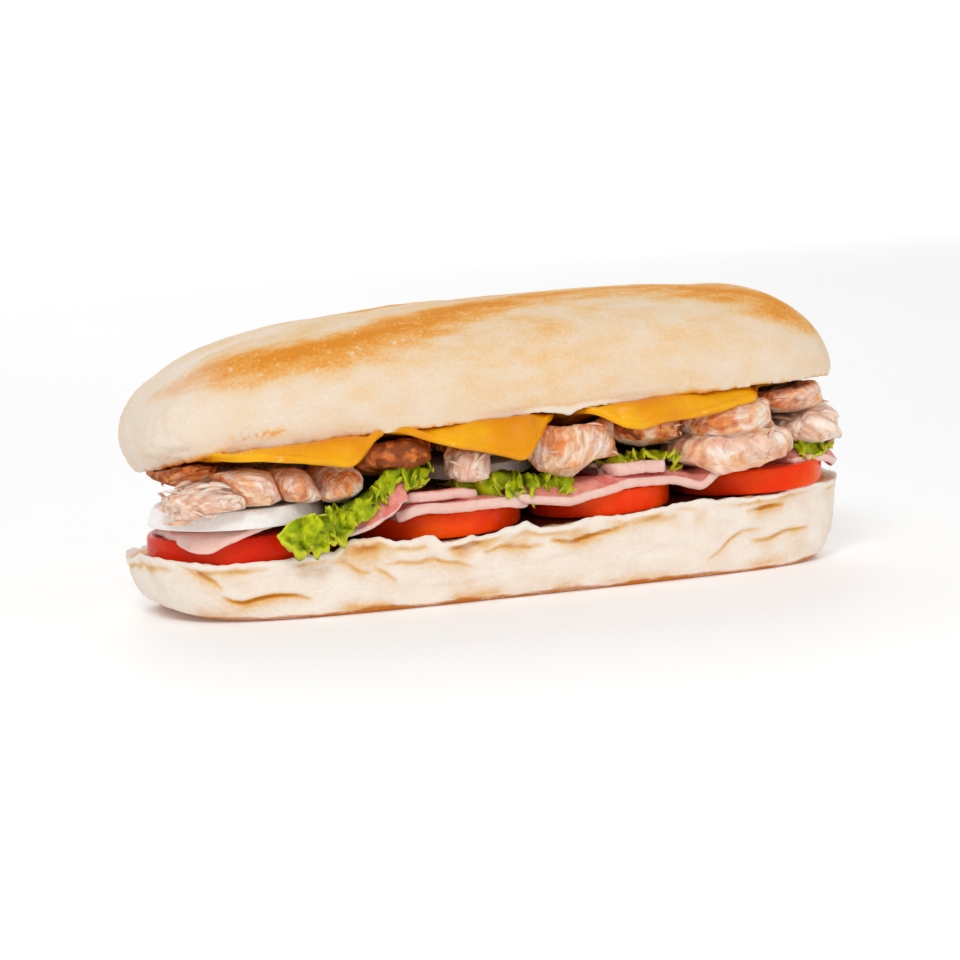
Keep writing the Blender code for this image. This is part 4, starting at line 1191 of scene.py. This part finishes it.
def chicken(node, seed):
    """A piece of meat: its solid, combed into fibres and bundles of them, with torn lumps."""
    meat, block = MEAT.get(seed) or REAR_MEAT[seed % 4], seed in BLOCKS
    made = soft_mesh(node + "_meat", node, MEAT_CELL, 3 if block else 7)
    points, normals = read_points(made.data)
    cos, sin = math.cos(math.radians(meat.turn)), math.sin(math.radians(meat.turn))
    across = np.array([[cos, 0, sin], [0, 1, 0], [-sin, 0, cos]])
    centre = points.mean(axis=0)
    swirl = noise(points, 16, seed, 2)[:, None] * 1.5 * MM
    combed = (points - centre) @ across.T + swirl * np.array([0, 1, 1]) + centre
    fibres = noise(combed, (9, 1.3, 1.3), seed + 1, 2)
    between = np.abs(noise(combed, (24, 4.2, 4.2), seed + 2, 2))
    lumps = noise(points, 7, seed + 3, 2)
    torn = ramp(noise(points, 3.4, seed + 8, 2), 0.0, 0.6)
    out = meat.fuller + 0.2 * fibres + meat.depth * (1.8 * between + 0.8 * lumps + 0.45 * torn - 0.7)
    facing_down = ramp(-normals[:, 2], 0.2, 0.9)
    out = np.where(out > 0, out * (1 - 0.8 * facing_down), out)
    half = np.maximum(points.max(axis=0) - centre, 1 * MM)
    towards = ((points - centre) / half) @ np.array([meat.seared_x, 0, meat.seared_z])
    points += normals * (out * MM)[:, None]
    proud = standing_out(made.data, points, normals)
    moved_as(meat, points, centre, seed)
    made.data.vertices.foreach_set("co", points.astype(np.float32).ravel())
    patches = noise(points, 6, seed + 4, 3)
    shown = ramp(fibres + 1.5 * between + 0.4 * lumps, -0.4, 1.2)
    for mask, values in (
        ("browned", browned_meat(meat, block, patches, towards, proud, normals)),
        ("pale", ramp(noise(points, 7, seed + 5, 3) + meat.pale * 1.6 - 0.8, -0.4, 0.4)),
        ("fibre", 0.5 + 0.55 * (shown - 0.5) if block else shown),
        # painted shade: darker in the grooves between bundles and in dents
        ("crevice_shade", np.maximum(1 - ramp(between, 0.0, 0.07), ramp(-proud, 0.1, 0.45))),
        ("comb", combed),
        ("scatter", meat.strands * (0.25 + torn)),
    ):
        set_mask(made.data, mask, values)
    return made


def shred_tree():
    """Geometry nodes that scatter thin torn strands over a piece: each is a bent tapered tube."""
    tree, graph = new_group("shreds", [("Geometry", "Geometry", None), ("Density", "Float", 20000.0),
        ("Length", "Float", 0.006), ("Width", "Float", 0.0009), ("Lift", "Float", 0.35),
        ("Spin", "Float", 0.6), ("Seed", "Int", 0), ("Material", "Material", None),
    ], ("Geometry", "Geometry"), "GeometryNodeTree")
    value = graph.inputs
    torn = graph.add("GeometryNodeInputNamedAttribute", {"Name": "scatter"}, data_type="FLOAT")
    scattered = graph.node("GeometryNodeDistributePointsOnFaces", {"Mesh": value["Geometry"],
        "Density": value["Density"] * torn, "Seed": value["Seed"]}, distribute_method="RANDOM").outputs
    line = graph.add("GeometryNodeCurveQuadraticBezier", {"Resolution": 6,
        "Start": (-0.5, 0.0, 0.0), "Middle": (0.1, 0.1, 0.16), "End": (0.5, -0.05, 0.02)})
    share = graph.add("GeometryNodeSplineParameter", output="Factor")
    belly = graph.math("SINE", (share * 0.86 + 0.1) * math.pi)
    line = graph.add("GeometryNodeSetCurveRadius", {"Curve": line, "Radius": belly})
    ring = graph.add("GeometryNodeCurvePrimitiveCircle", {"Resolution": 5, "Radius": 0.1})
    strand = graph.add("GeometryNodeCurveToMesh", {"Curve": line, "Profile Curve": ring,
        "Scale": belly, "Fill Caps": True})
    low, high = (graph.add("ShaderNodeCombineXYZ", {1: value["Lift"] * side, 2: value["Spin"] * side})
        for side in (-1.0, 1.0))
    tilt = graph.add("FunctionNodeRandomValue", {0: low, 1: high, "Seed": value["Seed"]},
        data_type="FLOAT_VECTOR")
    spun = graph.add("FunctionNodeRotateRotation", {"Rotation": Value(graph, scattered["Rotation"]),
        "Rotate By": graph.add("FunctionNodeEulerToRotation", {0: tilt})}, rotation_space="LOCAL")
    size = graph.add("FunctionNodeRandomValue", {2: 0.5, 3: 1.2, "Seed": value["Seed"]}, 1,
        data_type="FLOAT")
    wide = size * (value["Width"] * 5.0)
    scale = graph.add("ShaderNodeCombineXYZ", {0: size * value["Length"], 1: wide, 2: wide})
    end_tree(graph, graph.add("GeometryNodeInstanceOnPoints", {"Points": Value(graph, scattered["Points"]),
        "Instance": strand, "Rotation": spun, "Scale": scale}))
    return tree


# ---------------------------------------------------------------- finishes of the fillings

def tomato_material():
    """Tomato: glossy skin round the rim, and moist flesh with seed pockets on the cut faces."""
    made, graph = soft_material("ripe_tomato", 0.25, 0.004, (1.0, 0.15, 0.05), 0.12)
    cloud = mottle(graph, 60.0, 3.0, 0.35, 0.7)
    skin = graph.blend(cloud, rgb(240, 54, 0), rgb(250, 90, 4))
    skin = graph.blend(graph.mask("ripe") * 0.75, skin, rgb(206, 22, 0))
    on_face = graph.mask("on_face")
    spoke = graph.math("SINE", graph.mask("angle") * 4.0)
    pocket = graph.remap(spoke, -0.2, 0.5) * graph.remap(on_face, 0.3, 0.45)
    pocket *= graph.remap(on_face, 0.85, 0.72)
    flesh = graph.blend(cloud, rgb(226, 78, 44), rgb(238, 112, 70))
    flesh = graph.blend(pocket, flesh, rgb(214, 74, 22))
    flesh = graph.blend(mottle(graph, 420.0, 1.0, 0.6, 0.66) * pocket, flesh, rgb(240, 206, 130))
    colour = graph.blend(graph.remap(on_face, 1.0, 0.93), skin, flesh)
    rough = graph.remap(mottle(graph, 300.0, 3.0, 0.3, 0.7), 0.0, 1.0, 0.16, 0.32)
    set_looks(graph, colour, rough, graph.group(GRAIN, scale=260.0, depth=0.00015, pits=0.2))
    return made


def onion_material():
    """Onion: wet, pale and slightly clear, with fine lines up the rim and rings on the faces."""
    made, graph = soft_material("raw_onion", 0.45, 0.006, (1.0, 0.9, 0.75), 0.5, coat_weight=0.2,
        coat_roughness=0.2)
    on_face = graph.mask("on_face")
    place = graph.add("ShaderNodeCombineXYZ", {0: graph.mask("angle"), 2: graph.mask("up") * 0.04})
    lines = mottle(graph, 34.0, 4.0, 0.35, 0.65, vector=place) * graph.remap(on_face, 0.95, 1.0)
    rings = graph.remap(graph.math("SINE", on_face * 44.0), 0.75, 1.0) * graph.remap(on_face, 1.0, 0.93)
    colour = graph.blend(lines, rgb(246, 240, 234), rgb(253, 251, 248))
    colour = graph.blend(rings * 0.7, colour, rgb(214, 206, 186))
    colour = graph.blend(mottle(graph, 90.0, 3.0, 0.4, 0.75) * 0.3, colour, rgb(232, 218, 206))
    grain = graph.group(GRAIN, scale=500.0, depth=0.00008, pits=0.2)
    set_looks(graph, colour, 0.24, bumped(graph, lines - rings * 2.0, 0.00004, grain))
    return made


def ham_material():
    """Cooked ham: pink faces with darker grain and a paler moist rim."""
    made, graph = soft_material("cooked_ham", 0.3, 0.004, (1.0, 0.4, 0.3), 0.2)
    cloud, veins = mottle(graph, 110.0, 4.0, 0.35, 0.68), mottle(graph, 480.0, 3.0, 0.4, 0.66)
    colour = graph.blend(cloud, rgb(220, 112, 102), rgb(236, 150, 138))
    colour = graph.blend(veins * 0.35, colour, rgb(246, 196, 182))
    pale_rim = graph.math("ADD", graph.remap(graph.mask("inside"), 1.6, 0.6),
        graph.remap(cloud, 0.3, 0.7, -0.12, 0.0), clamp=True)
    colour = graph.blend(pale_rim, colour, rgb(240, 203, 191))
    set_looks(graph, colour, graph.remap(cloud, 0.0, 1.0, 0.3, 0.48),
        graph.group(GRAIN, scale=650.0, depth=0.0002, pits=0.4))
    return made


def lettuce_material():
    """Lettuce: yellow-green at the frilled edge, painted shade of deeper green in the folds and dents,
    with pale veins.
    """
    made, graph = soft_material("frilled_lettuce", 0.3, 0.002, (0.6, 1.0, 0.15), 0.15)
    inside = graph.mask("inside")
    colour = graph.blend(mottle(graph, 260.0, 3.0, 0.35, 0.65), rgb(150, 170, 6), rgb(196, 206, 18))
    # painted shade: darker green on the sunken side of each fold and in the dents
    colour = graph.blend(graph.mask("fold_shade") * 0.85, colour, rgb(72, 94, 2))
    colour = graph.blend(graph.remap(inside, 5.0, 10.0), colour, rgb(80, 104, 6))
    colour = graph.blend(graph.remap(inside, 1.1, 0.2, 0.0, 0.75), colour, rgb(220, 226, 54))
    vein = graph.remap(graph.mask("vein"), 0.12, 0.0) * graph.remap(inside, 2.0, 9.0)
    colour = graph.blend(vein * 0.7, colour, rgb(206, 216, 120))
    set_looks(graph, colour, 0.34, graph.group(GRAIN, scale=900.0, depth=0.0003, pits=0.6))
    return made


def cheese_material():
    """Melted cheese: orange-yellow, smooth and a little greasy, with painted shade of deeper orange
    further back and pale flecks of painted highlight for a few bubbles.
    """
    made, graph = soft_material("melted_cheese", 0.35, 0.004, (1.0, 0.5, 0.08), 0.22)
    colour = graph.blend(mottle(graph, 45.0, 3.0, 0.35, 0.7), rgb(234, 152, 0), rgb(248, 180, 8))
    # painted shade: deeper orange further back, under the bread
    colour = graph.blend(graph.mask("shaded") * 0.6, colour, rgb(200, 102, 0))
    # painted highlight: small pale flecks where bubbles catch the light
    colour = graph.blend(mottle(graph, 420.0, 0.0, 0.78, 0.82) * 0.6, colour, rgb(253, 208, 110))
    grain = graph.group(GRAIN, scale=420.0, depth=0.00012, pits=0.5)
    rough = graph.remap(mottle(graph, 130.0, 4.0, 0.35, 0.65), 0.0, 1.0, 0.12, 0.34)
    set_looks(graph, colour, rough, bumped(graph, mottle(graph, 80.0, 1.0, 0.2, 0.8), 0.0016, grain))
    return made


def meat_material():
    """Roast chicken: pale moist meat with fine fibres, pink-tan in places, brown where seared, and
    painted shade darkening its grooves and dents.
    """
    made, graph = soft_material("roast_chicken", 0.4, 0.004, (1.0, 0.5, 0.35), 0.3)
    comb = graph.add("ShaderNodeAttribute", output="Vector", attribute_name="comb")
    fine = mottle(graph, 700.0, 4.0, 0.36, 0.64, vector=comb, stretch=(0.14, 1, 1))
    cloud = mottle(graph, 210.0, 4.0, 0.34, 0.68)
    fibre = graph.math("ADD", graph.mask("fibre") * 0.55, fine * 0.55, clamp=True)
    tan = graph.blend(fibre, rgb(230, 158, 106), rgb(254, 226, 194))
    white = graph.blend(fibre, rgb(232, 186, 156), rgb(255, 244, 233))
    brown = graph.blend(fibre, rgb(194, 84, 14), rgb(250, 162, 80))
    colour = graph.blend(graph.mask("pale"), tan, white)
    colour = graph.blend(mottle(graph, 130.0, 2.0, 0.5, 0.72) * 0.3, colour, rgb(232, 158, 132))
    browned = graph.mask("browned") * graph.remap(cloud, 0.0, 1.0, 0.7, 1.0)
    colour = graph.blend(graph.math("MINIMUM", browned, 1.0), colour, brown)
    # Past 1 the meat turns dark red-brown: partly seared, partly painted shade where it sits in a dark gap.
    colour = graph.blend(graph.remap(browned, 1.0, 1.7), colour, rgb(140, 66, 18))
    # painted shade: grooves and dents darkened towards brown
    colour = graph.blend(graph.mask("crevice_shade") * 0.5, colour, rgb(172, 92, 50))
    grain = graph.group(GRAIN, scale=1000.0, depth=0.00015, pits=0.3)
    set_looks(graph, colour, graph.remap(cloud, 0.0, 1.0, 0.32, 0.55), bumped(graph, fine, 0.0004, grain))
    return made


def shred_material():
    """The torn strands: pale meat, tan in places."""
    made, graph = soft_material("torn_shreds", 0.2, 0.002, (1.0, 0.5, 0.35), 0.45)
    colour = graph.blend(mottle(graph, 260.0, 3.0, 0.35, 0.65), rgb(246, 226, 210), rgb(230, 182, 150))
    colour = graph.blend(mottle(graph, 140.0, 2.0, 0.62, 0.74), colour, rgb(206, 128, 74))
    set_looks(graph, colour, 0.42)
    return made


# ---------------------------------------------------------------- stage and camera

def stage():
    """A pale floor that runs up into a backdrop, and soft lights."""
    across = np.array([-4.0, 4.0])
    profile = [(-3.0, 0.0), (2.0, 0.0), (2.6, 0.08), (3.0, 0.35), (3.2, 0.8), (3.25, 2.5)]
    points = [(x, y, z) for y, z in profile for x in across]
    faces = [[2 * i, 2 * i + 1, 2 * i + 3, 2 * i + 2] for i in range(len(profile) - 1)]
    floor = mesh_object("floor", points, faces)
    made, graph = new_material("pale_floor", base_color=(0.96, 0.96, 0.96, 1.0), roughness=0.6,
        emission_color=(1.0, 1.0, 1.0, 1.0))
    distance = graph.add("ShaderNodeSeparateXYZ", {0: graph.place()}, "Y")
    graph.feed(graph.shader.inputs["Emission Strength"], graph.remap(distance, 0.8, 2.4, 0.1, 0.36))
    floor.data.materials.append(made)
    world = bpy.data.worlds.new("studio")
    bpy.context.scene.world = world
    world.use_nodes = True
    world.node_tree.nodes["Background"].inputs["Color"].default_value = (1.0, 1.0, 1.0, 1.0)
    world.node_tree.nodes["Background"].inputs["Strength"].default_value = 0.62
    aim = Vector((0.0, 0.0, 0.05))
    for name, place, size, power in (
        ("key", (-0.5, -0.8, 0.9), 0.35, 4.7),
        ("fill", (0.55, -1.15, 0.26), 0.9, 2.4),
        ("back", (0.3, 1.1, 0.9), 0.8, 2.0),
    ):
        light = bpy.data.lights.new(name, "AREA")
        light.energy, light.size = power, size
        lamp = bpy.data.objects.new(name, light)
        lamp.location = place
        lamp.rotation_euler = (aim - Vector(place)).to_track_quat("-Z", "Y").to_euler()
        bpy.context.scene.collection.objects.link(lamp)
    bpy.context.scene.view_settings.view_transform = "Standard"


CAMERA_TURN = (-22, 7, 2.47)  # from the front, above the floor and about its own axis, in degrees
CAMERA_AIM, CAMERA_AWAY = Vector((-0.0032, 0.0, 0.0341)), 1.1
LENS, SENSOR = 124.6, 36  # millimetres


def camera():
    """The camera: to the left of the front and a little above it, turned slightly about its own
    axis so that the right end stands higher."""
    azimuth, elevation, roll = (math.radians(degrees) for degrees in CAMERA_TURN)
    back = Vector((math.sin(azimuth) * math.cos(elevation), -math.cos(azimuth) * math.cos(elevation),
        math.sin(elevation)))
    right = Vector((math.cos(azimuth), math.sin(azimuth), 0))
    turned = Matrix.Rotation(-roll, 3, back) @ Matrix((right, back.cross(right), back)).transposed()
    data = bpy.data.cameras.new("camera")
    data.lens, data.sensor_width = LENS, SENSOR
    made = bpy.data.objects.new("camera", data)
    made.matrix_world = turned.to_4x4()
    made.location = CAMERA_AIM + back * CAMERA_AWAY
    bpy.context.scene.collection.objects.link(made)
    bpy.context.scene.camera = made


# ---------------------------------------------------------------- the sandwich

# The upper half's crumb is darker orange than the lower's: partly toasting, partly painted shade of a cut
# that faces down.
UPPER_BREAD = bread_material("upper_bread", rgb(241, 229, 217), rgb(235, 216, 192), rgb(236, 200, 152),
    rgb(236, 168, 84), rgb(226, 142, 42), crumb=rgb(226, 146, 70), speckle=0.8)
LOWER_BREAD = bread_material("lower_bread", rgb(248, 238, 227), rgb(241, 226, 210), rgb(232, 190, 132),
    rgb(218, 152, 66), rgb(200, 124, 36), crumb=rgb(240, 202, 146), speckle=0.15)
SLICE_TREE = slice_tree()
SHRED_TREE = shred_tree()
TOMATO = tomato_material()
ONION = onion_material()
HAM = ham_material()
LETTUCE = lettuce_material()
CHEESE = cheese_material()
MEAT_FINISH = meat_material()
SHREDS = shred_material()

# The tomato slices from the left: how far each is drawn out to the left and sits back, in
# millimetres, and how ripe it is from 0 to 1.
TOMATOES = [(1.8, 4.2, 1.0), (0, -0.3, 0.1), (0, -1.2, 0.0), (0, 0.3, 0.2)]
ONION_LOWERED = 1.6  # how far an onion slice is lowered, in millimetres
FIRST_ONION_LOWERED = 2.9
# Torn strands: how many to a square metre, their length and their width.
STRANDS = {"shreds": (16000.0, 0.006, 0.0009), "strips": (1500.0, 0.011, 0.0017)}
MANY_STRIPS = {2: 22000.0, 5: 9000.0, 7: 9000.0, 12: 7000.0, 14: 10000.0}  # on these pieces


def strands_on(piece, node, kind, seed):
    density, length, width = STRANDS[kind]
    if kind == "strips":
        density = MANY_STRIPS.get(seed, density)
    return from_tree(node + "_" + kind, SHRED_TREE, {"Density": density, "Length": length,
        "Width": width, "Seed": seed, "Material": SHREDS}, carrier=piece)


def build():
    finished(lower_roll(), "bread_lower", "roll_lower", material=LOWER_BREAD)
    finished(upper_roll(), "bread_upper", "roll_upper", material=UPPER_BREAD)
    for i, (node, (left, back, ripe)) in enumerate(zip(names_of("tomato"), TOMATOES)):
        cut = round_slice(node, TOMATO, i, shift=(-left, back, 0), wider=left, lobes=0.06)
        set_mask(cut.data, "ripe", np.full(len(cut.data.vertices), ripe))
        finished(cut, "tomato", node)
    for i, node in enumerate(names_of("onion")):
        shift = (0, 0, -(ONION_LOWERED if i else FIRST_ONION_LOWERED))
        finished(round_slice(node, ONION, i + 7, taper=0.09, shift=shift, lobes=0.03), "onion", node)
    for kind, sheet, material in (
        ("ham", ham, HAM), ("lettuce", lettuce, LETTUCE), ("cheese", cheese, CHEESE),
    ):
        for i, node in enumerate(names_of(kind)):
            finished(sheet(node, i), kind, node, material=material)
    torn = {kind: [] for kind in STRANDS}
    for i, node in enumerate(names_of("chicken"), start=1):
        piece = finished(chicken(node, i), "chicken", node, material=MEAT_FINISH)
        for kind, strands in torn.items():
            strands.append(strands_on(piece, node, kind, i))
    for kind, strands in torn.items():
        finished(joined("chicken_" + kind, strands), "chicken", material=SHREDS)


camera()
stage()
build()
